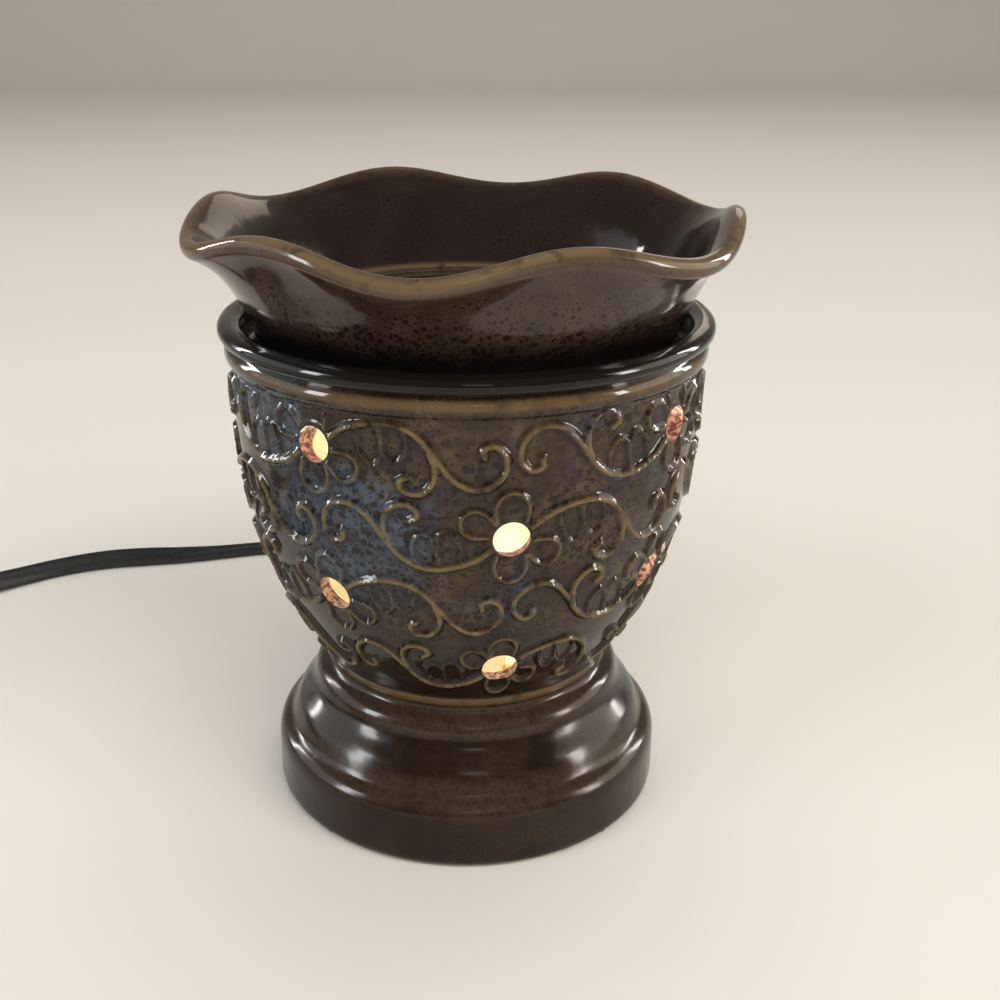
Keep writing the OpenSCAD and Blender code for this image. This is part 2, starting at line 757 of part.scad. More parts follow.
module foot_pads() {
    pad_ring_r = (foot_bore_r + foot_r - foot_edge) / 2;
    color("#2a2a2a") {
        at_angles([for (i = [0 : pad_count - 1]) 45 + 360 * i / pad_count], pad_ring_r) {
            cylinder(r = pad_r, h = pad_t);
        }
    }
}

module base_plate() {
    color("#9a9da0") {
        translate([0, 0, plate_z]) {
            difference() {
                cylinder(r = plate_r, h = plate_t);
                at_angles(lug_angles, lug_mid_r) {
                    translate([0, 0, -eps]) {
                        cylinder(r = screw_r + 2 * fit, h = plate_t + 2 * eps);
                    }
                }
                at_angles([0, 180], rivet_x) {
                    translate([0, 0, -eps]) {
                        cylinder(r = rivet_r + fit, h = plate_t + 2 * eps);
                    }
                }
            }
        }
    }
}

module base_plate_screws() {
    color("#c8c8c4") {
        at_angles(lug_angles, lug_mid_r) {
            translate([0, 0, plate_z - screw_head_h]) {
                difference() {
                    cylinder(r = screw_head_r, h = screw_head_h);
                    translate([-screw_head_r, -slot_w / 2, -eps]) {
                        cube([2 * screw_head_r, slot_w, screw_head_h * slot_share]);
                    }
                }
                cylinder(r = screw_r, h = screw_head_h + screw_l);
            }
        }
    }
}

module screw_plugs() {
    color("#e6e2d6") {
        at_angles(lug_angles, lug_mid_r) {
            translate([0, 0, plate_top_z]) {
                difference() {
                    cylinder(r = plug_r, h = plug_l);
                    translate([0, 0, -eps]) {
                        cylinder(r = screw_r + fit, h = plug_l + 2 * eps);
                    }
                }
            }
        }
    }
}

module socket_bracket() {
    foot_from = bracket_half - bracket_t;
    color("#a6a8aa") {
        difference() {
            translate([0, bracket_w / 2, 0]) {
                rotate([90, 0, 0]) {
                    linear_extrude(bracket_w) {
                        polygon(concat(
                            [[-bracket_half - bracket_foot, plate_top_z], [-foot_from, plate_top_z]],
                            [[-foot_from, bridge_z], [foot_from, bridge_z]],
                            [[foot_from, plate_top_z], [bracket_half + bracket_foot, plate_top_z]],
                            [[bracket_half + bracket_foot, plate_top_z + bracket_t]],
                            [[bracket_half, plate_top_z + bracket_t], [bracket_half, socket_z]],
                            [[-bracket_half, socket_z], [-bracket_half, plate_top_z + bracket_t]],
                            [[-bracket_half - bracket_foot, plate_top_z + bracket_t]]
                        ));
                    }
                }
            }
            at_angles([0, 180], rivet_x) {
                translate([0, 0, plate_top_z - eps]) {
                    cylinder(r = rivet_r + fit, h = bracket_t + 2 * eps);
                }
            }
            at_angles([0, 180], socket_screw_x) {
                translate([0, 0, bridge_z - eps]) {
                    cylinder(r = screw_r + fit, h = bracket_t + 2 * eps);
                }
            }
        }
    }
}

module bracket_rivets() {
    rivet_top_z = plate_top_z + bracket_t;
    color("#b4b6b8") {
        at_angles([0, 180], rivet_x) {
            translate([0, 0, plate_z - rivet_head_h]) {
                cylinder(r = rivet_head_r, h = rivet_head_h);
                cylinder(r = rivet_r, h = rivet_top_z - plate_z + 2 * rivet_head_h);
            }
            translate([0, 0, rivet_top_z]) {
                cylinder(r = rivet_head_r, h = rivet_head_h);
            }
        }
    }
}

module socket_body() {
    color("#1e1a18") {
        difference() {
            translate([0, 0, socket_z]) {
                cylinder(r = socket_r, h = socket_h);
            }
            translate([0, 0, socket_floor_z]) {
                cylinder(r = shell_r + shell_t + fit, h = socket_h);
            }
            at_angles([0, 180], socket_screw_x) {
                translate([0, 0, socket_z - eps]) {
                    cylinder(r = screw_r + fit, h = socket_screw_l + socket_screw_room);
                }
            }
            at_angles([0, 180], flat_x) {
                translate([0, -socket_r, terminal_z]) {
                    cube([socket_r, 2 * socket_r, terminal_h + terminal_room]);
                }
                translate([-terminal_screw_l - seat_gap, 0, terminal_screw_z]) {
                    rotate([0, 90, 0]) {
                        cylinder(r = screw_r + fit, h = terminal_screw_l + 2 * seat_gap);
                    }
                }
            }
        }
    }
}

module socket_screws() {
    color("#c8c8c4") {
        at_angles([0, 180], socket_screw_x) {
            translate([0, 0, bridge_z - screw_head_h]) {
                cylinder(r = screw_head_r, h = screw_head_h);
                cylinder(r = screw_r, h = screw_head_h + bracket_t + socket_screw_l);
            }
        }
    }
}

module socket_screw_shell() {
    color("#c9a24a") {
        translate([0, 0, shell_z]) {
            difference() {
                cylinder(r = shell_r + shell_t, h = shell_h);
                translate([0, 0, -eps]) {
                    cylinder(r = shell_r, h = shell_h + 2 * eps);
                }
            }
        }
    }
}

module socket_center_contact() {
    color("#c9a24a") {
        translate([0, 0, socket_floor_z]) {
            cylinder(r = contact_r, h = contact_t);
        }
    }
}

module socket_terminals() {
    color("#c9a24a") {
        at_angles([0, 180], flat_x) {
            difference() {
                translate([0, -terminal_w / 2, terminal_z]) {
                    cube([terminal_t, terminal_w, terminal_h]);
                }
                translate([-eps, 0, terminal_screw_z]) {
                    rotate([0, 90, 0]) {
                        cylinder(r = screw_r + fit, h = terminal_t + 2 * eps);
                    }
                }
            }
        }
    }
}

module terminal_screws() {
    color("#d0ab55") {
        at_angles([0, 180], socket_r) {
            translate([0, 0, terminal_screw_z]) {
                rotate([0, 90, 0]) {
                    cylinder(r = terminal_head_r, h = screw_head_h);
                    translate([0, 0, -terminal_t - terminal_screw_l]) {
                        cylinder(r = screw_r, h = terminal_t + terminal_screw_l + screw_head_h / 2);
                    }
                }
            }
        }
    }
}

// The globe's outline: a straight neck in the cap, a soft shoulder and a ball
function globe_line(inset) =
    let (
        r = globe_r - inset,
        join = [r * cos(globe_start), globe_z + r * sin(globe_start)],
        way = [-sin(globe_start), cos(globe_start)]
    )
    concat(
        [[neck_glass_r - inset, neck_glass_z]],
        bez_line([neck_glass_r - inset, cap_top_z + shoulder_rise],
            [neck_glass_r - inset, cap_top_z + shoulder_reach], join - shoulder_reach * way, join, 8),
        arc([0, globe_z], r, r, globe_start + 6, 90, 24)
    );

module bulb_glass() {
    inside = globe_line(glass_t);
    color("#f2ead8", 0.5) {
        rotate_extrude() {
            polygon(concat(
                globe_line(0),
                [for (i = [len(inside) - 1 : -1 : 0]) inside[i]]
            ));
        }
    }
}

// The cap's rolled thread, drawn as ridges one pitch apart
function thread_line(n) =
    [for (i = [0 : n])
        let (turn = i / thread_steps)
        [cap_r - thread_depth * (1 - cos(360 * turn)) / 2, cap_z + thread_start + cap_pitch * turn]];

module bulb_cap() {
    cap_inner_r = cap_r - thread_depth - cap_t;
    color("#c7b98a") {
        rotate_extrude() {
            polygon(concat(
                [[cap_r / 2, cap_z], [cap_r, cap_z]],
                thread_line(thread_steps * thread_turns),
                [[cap_r, cap_top_z], [cap_r - cap_t, cap_top_z], [cap_r - cap_t, thread_top_z]],
                [[cap_inner_r, thread_top_z - thread_start], [cap_inner_r, cap_z + cap_t]],
                [[cap_r / 2, cap_z + cap_t]]
            ));
        }
    }
}

module bulb_cap_insulator() {
    color("#15120f") {
        translate([0, 0, insulator_z]) {
            cylinder(r1 = insulator_r[0], r2 = insulator_r[1], h = insulator_h);
        }
    }
}

module bulb_tip_contact() {
    color("#bfc0bd") {
        translate([0, 0, bulb_z]) {
            cylinder(r1 = tip_r[0], r2 = tip_r[1], h = tip_h);
        }
    }
}

module bulb_stem() {
    color("#e8e6e0", 0.6) {
        translate([0, 0, neck_glass_z]) {
            cylinder(r1 = neck_glass_r - glass_t - fit, r2 = stem_r, h = stem_flare_h);
            cylinder(r = stem_r, h = stem_top_z - neck_glass_z);
        }
    }
}

module filament_wires() {
    wire_r = 0.4;
    way = [filament_r - stem_r + wire_r, filament_z - stem_top_z - wire_r];
    color("#8c8c88") {
        at_angles([0, 180], stem_r - wire_r) {
            translate([0, 0, stem_top_z + wire_r]) {
                rotate([0, atan2(way.x, way.y), 0]) {
                    cylinder(r = wire_r, h = norm(way) - filament_d / 2 - wire_r);
                }
            }
        }
    }
}

module filament() {
    color("#f0b060") {
        translate([0, 0, filament_z]) {
            rotate_extrude(angle = 180) {
                translate([filament_r, 0]) {
                    circle(d = filament_d, $fn = 24);
                }
            }
        }
    }
}

module along_y(y, z) {
    translate([0, y, z]) {
        rotate([-90, 0, 0]) {
            children();
        }
    }
}

module strain_relief() {
    color("#141414") {
        along_y(relief_inner_y, exit_z) {
            cylinder(r = relief_neck_r, h = relief_y - relief_inner_y + eps);
            cylinder(r = relief_collar_r, h = relief_collar_t);
        }
        along_y(relief_y, exit_z) {
            cylinder(r = relief_flange_r, h = relief_flange_t);
        }
        along_y(relief_taper_y, exit_z) {
            cylinder(r1 = relief_r, r2 = relief_end_r, h = relief_end_y - relief_taper_y);
        }
    }
}

module tube(route, w, t, sides) {
    rings = [for (i = [0 : len(route) - 1]) lead_ring(route[i], heading(route, i), w, t, sides)];
    polyhedron(
        points = [for (ring = rings, p = ring) p],
        faces = tube_faces(len(route), sides)
    );
}

module lead_live() {
    color("#1b1b1b") {
        tube(live_route, 2 * lead_r, 2 * lead_r, run_sides);
    }
}

module lead_neutral() {
    color("#2b2b2b") {
        tube(mirrored(live_route), 2 * lead_r, 2 * lead_r, run_sides);
    }
}

module cord_to_switch() {
    color("#161616") {
        tube(to_switch, cord_w, cord_t, run_sides);
    }
}

module cord_to_coil() {
    color("#161616") {
        tube(to_coil, cord_w, cord_t, run_sides);
    }
}

module cord_to_plug() {
    color("#161616") {
        tube(to_plug, cord_w, cord_t, run_sides);
    }
}

module cord_coil() {
    color("#161616") {
        tube(coil_route, cord_w, cord_t, coil_sides);
    }
}

// The tie goes round the two layers at the back of the coil, where no turn climbs
module cord_tie() {
    out_r = coil_r - tie_turn * coil_step + cord_t / 2 + tie_gap;
    in_r = coil_r - (coil_turns - 0.5) * coil_step - cord_t / 2 - tie_gap;
    low = coil_floor - tie_under;
    high = coil_high_z + cord_w / 2 + tie_gap;
    color("#1d1d1d") {
        translate([coil_at.x - tie_w / 2, coil_at.y, 0]) {
            difference() {
                translate([0, in_r - tie_t, low - tie_t]) {
                    cube([tie_w, out_r - in_r + 2 * tie_t, high - low + 2 * tie_t]);
                }
                translate([-eps, in_r, low]) {
                    cube([tie_w + 2 * eps, out_r - in_r, high - low]);
                }
            }
        }
    }
}

// The switch is drawn about its own middle, with the lead running along Y
module at_switch() {
    translate([switch_at.x, switch_at.y, 0]) {
        children();
    }
}

function rounded_box(w, l, r) = concat(
    arc([w / 2 - r, l / 2 - r], r, r, 0, 90, 8),
    arc([r - w / 2, l / 2 - r], r, r, 90, 180, 8),
    arc([r - w / 2, r - l / 2], r, r, 180, 270, 8),
    arc([w / 2 - r, r - l / 2], r, r, 270, 360, 8)
);

module switch_half(z, h, cavity_z) {
    difference() {
        translate([0, 0, z]) {
            linear_extrude(h) {
                polygon(rounded_box(switch_w, switch_l, switch_corner));
            }
        }
        translate([0, 0, switch_mid_z - wheel_t / 2 - wheel_room]) {
            cylinder(r = wheel_r + wheel_room, h = wheel_t + 2 * wheel_room);
        }
        translate([0, 0, switch_wall]) {
            cylinder(r = axle_r + fit, h = switch_h - 2 * switch_wall);
        }
        for (side = [-1, 1]) {
            translate([0, side * switch_screw_y, -eps]) {
                cylinder(r = screw_r + 2 * fit, h = switch_h - switch_wall + eps);
                cylinder(r = screw_head_r + head_room, h = screw_head_h + screw_sink + fit);
            }
            translate([side * contact_x - contact_room / 2, -contact_span / 2, cavity_z]) {
                cube([contact_room, contact_span, switch_mid_z - switch_wall]);
            }
        }
    }
}

module switch_housing_lower() {
    color("#1a1a1a") {
        at_switch() {
            switch_half(0, switch_mid_z, switch_wall);
        }
    }
}

module switch_housing_upper() {
    color("#202020") {
        at_switch() {
            switch_half(switch_mid_z, switch_h - switch_mid_z, switch_mid_z);
        }
    }
}

module switch_wheel() {
    notch_angles = [for (i = [0 : wheel_notches - 1]) 360 * i / wheel_notches];
    color("#242424") {
        at_switch() {
            translate([0, 0, switch_mid_z - wheel_t / 2]) {
                difference() {
                    cylinder(r = wheel_r, h = wheel_t);
                    translate([0, 0, -eps]) {
                        cylinder(r = axle_r + running, h = wheel_t + 2 * eps);
                    }
                    at_angles(notch_angles, wheel_r + notch_out) {
                        translate([0, 0, -eps]) {
                            cylinder(r = notch_r, h = wheel_t + 2 * eps);
                        }
                    }
                }
            }
        }
    }
}

module switch_axle() {
    color("#b8babb") {
        at_switch() {
            translate([0, 0, switch_wall]) {
                cylinder(r = axle_r, h = switch_h - 2 * switch_wall);
            }
        }
    }
}

// Brass blades in the channels beside the wheel, below its underside
module switch_contacts() {
    blade_h = switch_mid_z - wheel_t / 2 - wheel_room - switch_wall - contact_under;
    blade_span = contact_span - 2 * contact_end;
    color("#c9a24a") {
        at_switch() {
            for (side = [-1, 1]) {
                translate([side * contact_x - contact_blade_t / 2, -blade_span / 2, switch_wall]) {
                    cube([contact_blade_t, blade_span, blade_h]);
                }
            }
        }
    }
}

module switch_screws() {
    color("#b8babb") {
        at_switch() {
            for (side = [-1, 1]) {
                translate([0, side * switch_screw_y, screw_sink]) {
                    cylinder(r = screw_head_r, h = screw_head_h);
                    cylinder(r = screw_r, h = switch_h - switch_wall - screw_sink - screw_end);
                }
            }
        }
    }
}

// The plug lies flat, with its blades pointing along +Y
module plug_body() {
    plug_body_y = plug_at.y + plug_tail_l;
    color("#171717") {
        difference() {
            union() {
                translate([plug_at.x, 0, 0]) {
                    along_y(plug_at.y, plug_mid_z) {
                        cylinder(
                            r1 = cord_w / 2 + plug_tail_edge,
                            r2 = plug_body_t / 2 - plug_tail_edge,
                            h = plug_tail_l + eps
                        );
                    }
                }
                translate([plug_at.x, plug_body_y + plug_body_l / 2, 0]) {
                    linear_extrude(plug_body_t) {
                        polygon(rounded_box(plug_body_w, plug_body_l, plug_corner));
                    }
                }
            }
            for (side = [-1, 1]) {
                translate([plug_at.x + side * blade_gap / 2, plug_body_y + plug_body_l, plug_mid_z]) {
                    cube([blade_t + 2 * fit, 2 * blade_root, blade_w + 2 * fit], center = true);
                }
            }
        }
    }
}

module plug_blades() {
    blade_y = plug_at.y + plug_tail_l + plug_body_l;
    color("#c8b070") {
        for (side = [-1, 1]) {
            translate([plug_at.x + side * blade_gap / 2 - blade_t / 2, blade_y - blade_root, 0]) {
                difference() {
                    translate([0, 0, plug_mid_z - blade_w / 2]) {
                        cube([blade_t, blade_root + blade_l, blade_w]);
                    }
                    translate([-eps, blade_root + blade_l - blade_hole_end, plug_mid_z]) {
                        rotate([0, 90, 0]) {
                            cylinder(r = blade_hole_r, h = blade_t + 2 * eps);
                        }
                    }
                }
            }
        }
    }
}

body_shell();
wax_dish();
foot_pads();
base_plate();
base_plate_screws();
screw_plugs();
socket_bracket();
bracket_rivets();
socket_body();
socket_screws();
socket_screw_shell();
socket_center_contact();
socket_terminals();
terminal_screws();
bulb_glass();
bulb_cap();
bulb_cap_insulator();
bulb_tip_contact();
bulb_stem();
filament_wires();
filament();
strain_relief();
lead_live();
lead_neutral();
cord_to_switch();
switch_housing_lower();
switch_housing_upper();
switch_wheel();
switch_axle();
switch_contacts();
switch_screws();
cord_to_coil();
cord_coil();
cord_tie();
cord_to_plug();
plug_body();
plug_blades();
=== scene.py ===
"""Looks of the electric wax warmer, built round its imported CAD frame.

The lead's routes, the lamps and the materials are in metres, as the frame is. Other sizes are in
millimetres until piece_of makes a mesh of them.
"""
import math

import bpy
import numpy as np
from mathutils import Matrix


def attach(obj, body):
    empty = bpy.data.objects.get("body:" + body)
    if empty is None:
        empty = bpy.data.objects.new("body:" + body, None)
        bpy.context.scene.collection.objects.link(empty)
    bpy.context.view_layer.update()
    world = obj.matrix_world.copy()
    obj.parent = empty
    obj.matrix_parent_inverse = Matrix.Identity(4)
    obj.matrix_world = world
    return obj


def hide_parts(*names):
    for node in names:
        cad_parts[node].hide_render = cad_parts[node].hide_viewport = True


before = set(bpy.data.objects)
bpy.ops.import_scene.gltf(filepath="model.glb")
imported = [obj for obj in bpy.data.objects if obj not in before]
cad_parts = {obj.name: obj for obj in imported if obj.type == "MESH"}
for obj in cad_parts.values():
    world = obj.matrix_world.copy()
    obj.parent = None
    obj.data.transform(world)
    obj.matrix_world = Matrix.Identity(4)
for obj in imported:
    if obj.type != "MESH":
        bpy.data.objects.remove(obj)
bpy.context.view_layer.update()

MM = 0.001
UP = np.array([0.0, 0.0, 1.0])

# The photograph's camera, and the pixel column of the object's axis
CAMERA_AT = (0, -308, 200.2)
CAMERA_PITCH = math.radians(21.85)
FRAME_PX = 1000
FOCAL_PX = 1290
AXIS_PX = 466.3
SENSOR = 36

# The stage: a flat floor, a bend behind it, and a backdrop
STAGE_FRONT_Y = -2500
STAGE_FLAT_Y = 2400
STAGE_BEND_R = 800
STAGE_TOP_Z = 3000
STAGE_HALF_W = 3000

# The body's driving sizes, from the table up: radii, heights of stretches and half sizes of rounded parts
FOOT_Z = 0.8
FOOT_R = 50.7
FOOT_EDGE = 1.2
UNDERSIDE_GAP = 1
BORE_R = 43
BORE_OVER = 1
FLANGE_H = 12.2
FLANGE_ROUND = (3.5, 5)
STEP_R = 45.2
STEP_H = 5
FLARE_H = 8
RING_R = 40.2
RING_H = 4.7
RING_INSET = 1
RING_INNER_DROP = 2
NECK_R = 36.1
NECK_H = 1.7
COLLAR_R = 37.1
COLLAR_HALF = 1.3
BOWL_R = 57.2
BOWL_H = 74
BOWL_SWELL = 33
BOWL_SLOPE = math.radians(55)
BOWL_UPRIGHT = 22
WALL = 3.6
PLAIN_H = 3.2
BAND_HALF = 2.3
BAND_PROUD = 1.4
BAND_INSET = 0.2
BAND_GAP = 0.4
LIP_R = 60
LIP_HALF = (3, 2.4)
LEDGE_R = 45.5
LEDGE_DEPTH = 8
LEDGE_T = 6
LEDGE_SLOPE_H = 7

# Where the body's stretches end: a height, or a radius and a height
FLANGE_Z = FOOT_Z + FLANGE_H
BORE_TOP_Z = FLANGE_Z + FLANGE_ROUND[1] + BORE_OVER
STEP = (STEP_R, FLANGE_Z + FLANGE_ROUND[1] + STEP_H)
RING = (RING_R, STEP[1] + FLARE_H)
NECK = (NECK_R, RING[1] + RING_H)
COLLAR_Z = NECK[1] + NECK_H + COLLAR_HALF
BOWL_Z = COLLAR_Z + COLLAR_HALF
BOWL_TOP = (BOWL_R, BOWL_Z + BOWL_H)
BAND_Z = BOWL_TOP[1] + PLAIN_H
LIP_Z = BAND_Z + 2 * BAND_HALF + BAND_GAP + LIP_HALF[1]
LEDGE_Z = LIP_Z + LIP_HALF[1] - LEDGE_DEPTH
LEDGE_UNDER_Z = LEDGE_Z - LEDGE_T
SLOPE_END_Z = LEDGE_UNDER_Z - LEDGE_SLOPE_H

# How the flare leaves the step and how it comes to the ring, and the ring's rounding
STEP_WAY = (-1.5, 0.35 * FLARE_H)
RING_WAY = (0.2, -0.4 * FLARE_H)
RING_ROUND = (RING_R - RING_INSET - NECK_R, 0.8 * RING_H)

# How far apart the points of the body's outline lie, and how many columns go round
FOOT_GRID = 0.8
BOWL_GRID = 0.5
TOP_GRID = 0.6
INSIDE_GRID = 1.6
COLUMNS = 720

# How far a cut starts outside the face that it goes into
CUT_PAST = 1

# The lugs inside the foot, each with a bore for a nylon plug, and the lead's way out
LUG_ANGLES = (270, 30, 150)
LUG_FROM = (31, -6.5, 4.6)
LUG_TO = (45.5, 6.5, 14.6)
LUG_BORE_R = 3.05
LUG_BORE_AT = 37
LUG_BORE_L = 8
EXIT_Z = 9.5
EXIT_R = 3.95

# The light holes: every other row stands half a step round
HOLE_R = 4.1
HOLE_ROWS = 4
HOLE_RISE = 12.6
HOLE_STEP = 18.6
HOLE_ROW_Z = [BOWL_Z + HOLE_RISE + HOLE_STEP * k for k in range(HOLE_ROWS)]
HOLE_REPEAT = 90
HOLE_TURN = (280, 280 - HOLE_REPEAT / 2)
HOLE_FLARE = 0.9

# The dish
DISH_GAP = 3.5
DISH_FOOT_W = 4.5
DISH_FOOT_H = 3
DISH_FOOT_DRAFT = 0.2
DISH_FOOT_EASE = (0.4, 0.6)
DISH_FLOOR_T = 5
DISH_HALF = 2.25
DISH_HEEL = (6, 1.8)
DISH_WALL_START = 0.3
DISH_FOOT_R = LIP_R - 2 * LIP_HALF[0] - DISH_GAP
DISH_FLOOR_R = DISH_FOOT_R - DISH_FOOT_W
DISH_BASE_Z = LEDGE_Z + DISH_FOOT_H
DISH_MID_Z = DISH_BASE_Z + DISH_FLOOR_T - DISH_HALF
RIM_R = 63.7
RIM_H = 29.1
RIM_Z = LEDGE_Z + RIM_H
LOBES = 6
LOBE_TURN = math.radians(20)
LOBE_FLARE = 1.1
LOBE_RISE = 2.5
RIM_RUN = (10, 7.3)
LOBE_RUN = (1.9, -2.4)
DISH_RING_R = 40
DISH_RING_HALF = 1.2
DISH_COLUMNS = 384

# How pale the dish's glaze is: at shares of the way up the wall, inside and outside, on the rim's flanks,
# and on the ring in the floor
INSIDE_PALE = [(0, 0.05, 0.1, 0.15, 0.22, 0.95, 1), (0.5, 0.1, 0.25, 0.8, 0, 0, 0.25)]
OUTSIDE_PALE = [(0.95, 1), (0, 0.25)]
FLANK_PALE = 0.2
RING_PALE = 0.6

# The bulb's globe
GLOBE_Z = 71.4
GLOBE_R = 25

# The strain relief on the foot, along Y
RELIEF_INNER_Y = 40.6
RELIEF_Y = 50.75
RELIEF_TAPER_Y = 52.75
RELIEF_END_Y = 75
RELIEF_NECK_R = 3.9
RELIEF_COLLAR_R = 4.9
RELIEF_COLLAR_T = 1.6
RELIEF_FLANGE_R = 6
RELIEF_R = 5
RELIEF_END_R = 4.2
RELIEF_RIBS = 6
RELIEF_RIB_END = 0.9
RELIEF_COLLAR_EASE = 0.5
RELIEF_FLANGE_EASE = 0.2
RELIEF_FLANGE_ROUND = 0.9

# Half the depth of the grooves on the strain relief and on the plug's tail
RIB_DEPTH = 0.35

# The inline switch
SWITCH_AT = (-182, 49)
SWITCH_SIZE = (20, 58, 14)
SWITCH_CORNER = 6
SWITCH_WALL = 1.8
SWITCH_SEAM = 0.3
SWITCH_EDGES = (1.2, 2.4)
WHEEL_ROOM_R = 13
WHEEL_ROOM_Z = (4, 10)
SWITCH_SCREW_Y = 20.88
SWITCH_SINK = (3, 2.05)
CONTACT_X = 5.6
CONTACT_ROOM = (3, 36)

# The plug
PLUG_AT = (-232, 10)
PLUG_SIZE = (21, 24, 13)
PLUG_CORNER = 4
PLUG_EDGE = 2
PLUG_TAIL_L = 16
PLUG_TAIL_R = (3.9, 5.9)
PLUG_TAIL_SUNK = 1
PLUG_RIBS = 4
PLUG_RIB_END = 0.95
PLUG_GRIPS = 4
PLUG_GRIP_AT = 7
PLUG_GRIP_STEP = 3.4
PLUG_GRIP_R = 1.1
PLUG_GRIP_OUT = 0.5

# The tie at the back of the coil: its inner sides, width and thickness
TIE_X = -200
TIE_Y = (-18.15, -8.85)
TIE_Z = (0.9, 15.7)
TIE_W = 8
TIE_T = 0.8
TIE_CORNER = 2.4
TIE_EASE = 0.25

# The glaze's colours on the bowl, its gold, and those on the foot and the dish, with painted shade and
# painted reflection among them
BROWN = (0.036, 0.022, 0.012)
PALE_BROWN = (0.082, 0.054, 0.03)
# Blue-grey: the glaze's own in places, and on the upper left a painted reflection of the window
BLUE_GREY_AND_SHEEN = (0.062, 0.08, 0.108)
PURPLE = (0.04, 0.022, 0.032)
SPOT_BLACK = (0.007, 0.0045, 0.005)
FLECK_BROWN = (0.02, 0.012, 0.009)
# Painted shade on the lower bowl, which faces down
LOW_PAINTED_SHADE = (0.016, 0.009, 0.005)
POOL_BLACK = (0.008, 0.0055, 0.0045)
LIP_BLACK = (0.006, 0.0045, 0.004)
SCROLL_GOLD = (0.165, 0.118, 0.048)
EDGE_GOLD = (0.14, 0.085, 0.036)
FOOT_DARK = (0.011, 0.0045, 0.0018)
FOOT_BROWN = (0.022, 0.0115, 0.0055)
# Paler glaze on the foot's shoulders: partly thin glaze, partly a painted sheen on their upward faces
FOOT_THIN_AND_SHEEN = (0.046, 0.028, 0.018)
FOOT_SPOT = (0.006, 0.003, 0.002)
MAUVE = (0.038, 0.023, 0.017)
PALE_MAUVE = (0.07, 0.043, 0.032)
# Painted shade over the inside of the dish
DISH_INSIDE_PAINTED_SHADE = (0.007, 0.005, 0.004)
DISH_SPOT = (0.007, 0.005, 0.005)
# Painted shade low on the outside of the dish
DISH_PAINTED_SHADE = (0.007, 0.006, 0.006)
DISH_GOLD = (0.15, 0.1, 0.05)

# Where the glaze changes, and where painted shade and a painted reflection fade, in metres: the first place
# is before a change, and the second is after it
BLUE_AND_SHEEN_FROM_X = (0.008, -0.03)
BLUE_AND_SHEEN_FROM_Z = (0.055, 0.09)
LOW_PAINTED_SHADE_FADE = (0.085, 0.048)
FOOT_FADE = (0.041, 0.036)
LIP_FADE = (0.121, 0.1235)
DISH_SPOTS_FADE = (0.147, 0.127)
DISH_PAINTED_SHADE_FADE = (0.136, 0.126)

# Bands of thin glaze, in metres: lower edge, upper edge and how soft both are; the two on the foot also carry
# a painted sheen
FLANGE_THIN_AND_SHEEN = (0.0155, 0.022, 0.0015)
RING_THIN_AND_SHEEN = (0.031, 0.038, 0.001)
BAND_LINE = (0.1193, 0.1212, 0.0011)
COLLAR_LINE = (0.0376, 0.0398, 0.0004)

# The glaze's roughness, where it is smooth and where it isn't, and how much rougher it is on the foot
GLAZE_ROUGH = (0.06, 0.16)
FOOT_ROUGHER = 0.1
GLAZE_SPECULAR = 0.3

# What the lamps face
LAMPS_FACE = np.array([0, 0, 0.07])


def bezier(a, b, c, d, count):
    """Points on a curve that leaves a towards b and comes to d from c."""
    t = np.linspace(0, 1, count)[:, None]
    a, b, c, d = (np.asarray(p, float) for p in (a, b, c, d))
    return a * (1 - t) ** 3 + 3 * b * t * (1 - t) ** 2 + 3 * c * t * t * (1 - t) + d * t**3


def arc(centre, half, start, end, count):
    """Points on an ellipse with these half sizes, between two angles in degrees."""
    turn = np.radians(np.linspace(start, end, count))
    return np.stack([centre[0] + half[0] * np.cos(turn), centre[1] + half[1] * np.sin(turn)], 1)


def lengths(points):
    """How far along a line each of its points is."""
    return np.r_[0, np.cumsum(np.linalg.norm(np.diff(points, axis=0), axis=1))]


def evenly(points, step):
    """The same line with points about one step apart."""
    points = np.asarray(points, float)
    run = lengths(points)
    places = np.linspace(0, run[-1], max(2, round(run[-1] / step) + 1))
    return np.stack([np.interp(places, run, column) for column in points.T], 1)


def through(points, parts):
    """A smooth line through the points, with so many parts between two of them."""
    points = np.asarray(points, float)
    before = np.vstack([2 * points[0] - points[1], points[:-1]])
    after = np.vstack([points[1:], 2 * points[-1] - points[-2]])
    way = (after - before) / 2
    t = np.linspace(0, 1, parts, endpoint=False)[:, None, None]
    line = points[:-1] * (2 * t**3 - 3 * t**2 + 1) + points[1:] * (3 * t**2 - 2 * t**3)
    line = line + way[:-1] * (t**3 - 2 * t**2 + t) + way[1:] * (t**3 - t**2)
    return np.vstack([line.transpose(1, 0, 2).reshape(-1, points.shape[1]), points[-1:]])


def outward(degrees):
    """The level direction at so many degrees round the axis."""
    return np.array([math.cos(math.radians(degrees)), math.sin(math.radians(degrees)), 0.0])


def ring_faces(rows, columns, loop=False):
    """Quads between rows of points whose columns close to a ring, and with loop the rows too."""
    i = np.arange(rows if loop else rows - 1)[:, None]
    j = np.arange(columns)[None]
    low = i * columns
    high = (i + 1) % rows * columns
    across = (j + 1) % columns
    return np.stack([low + j, low + across, high + across, high + j], -1).reshape(-1, 4).tolist()


def capped_faces(rows, columns):
    """The same, with a flat face over the first row and one over the last."""
    first = list(range(columns - 1, -1, -1))
    last = list(range((rows - 1) * columns, rows * columns))
    return ring_faces(rows, columns) + [first, last]


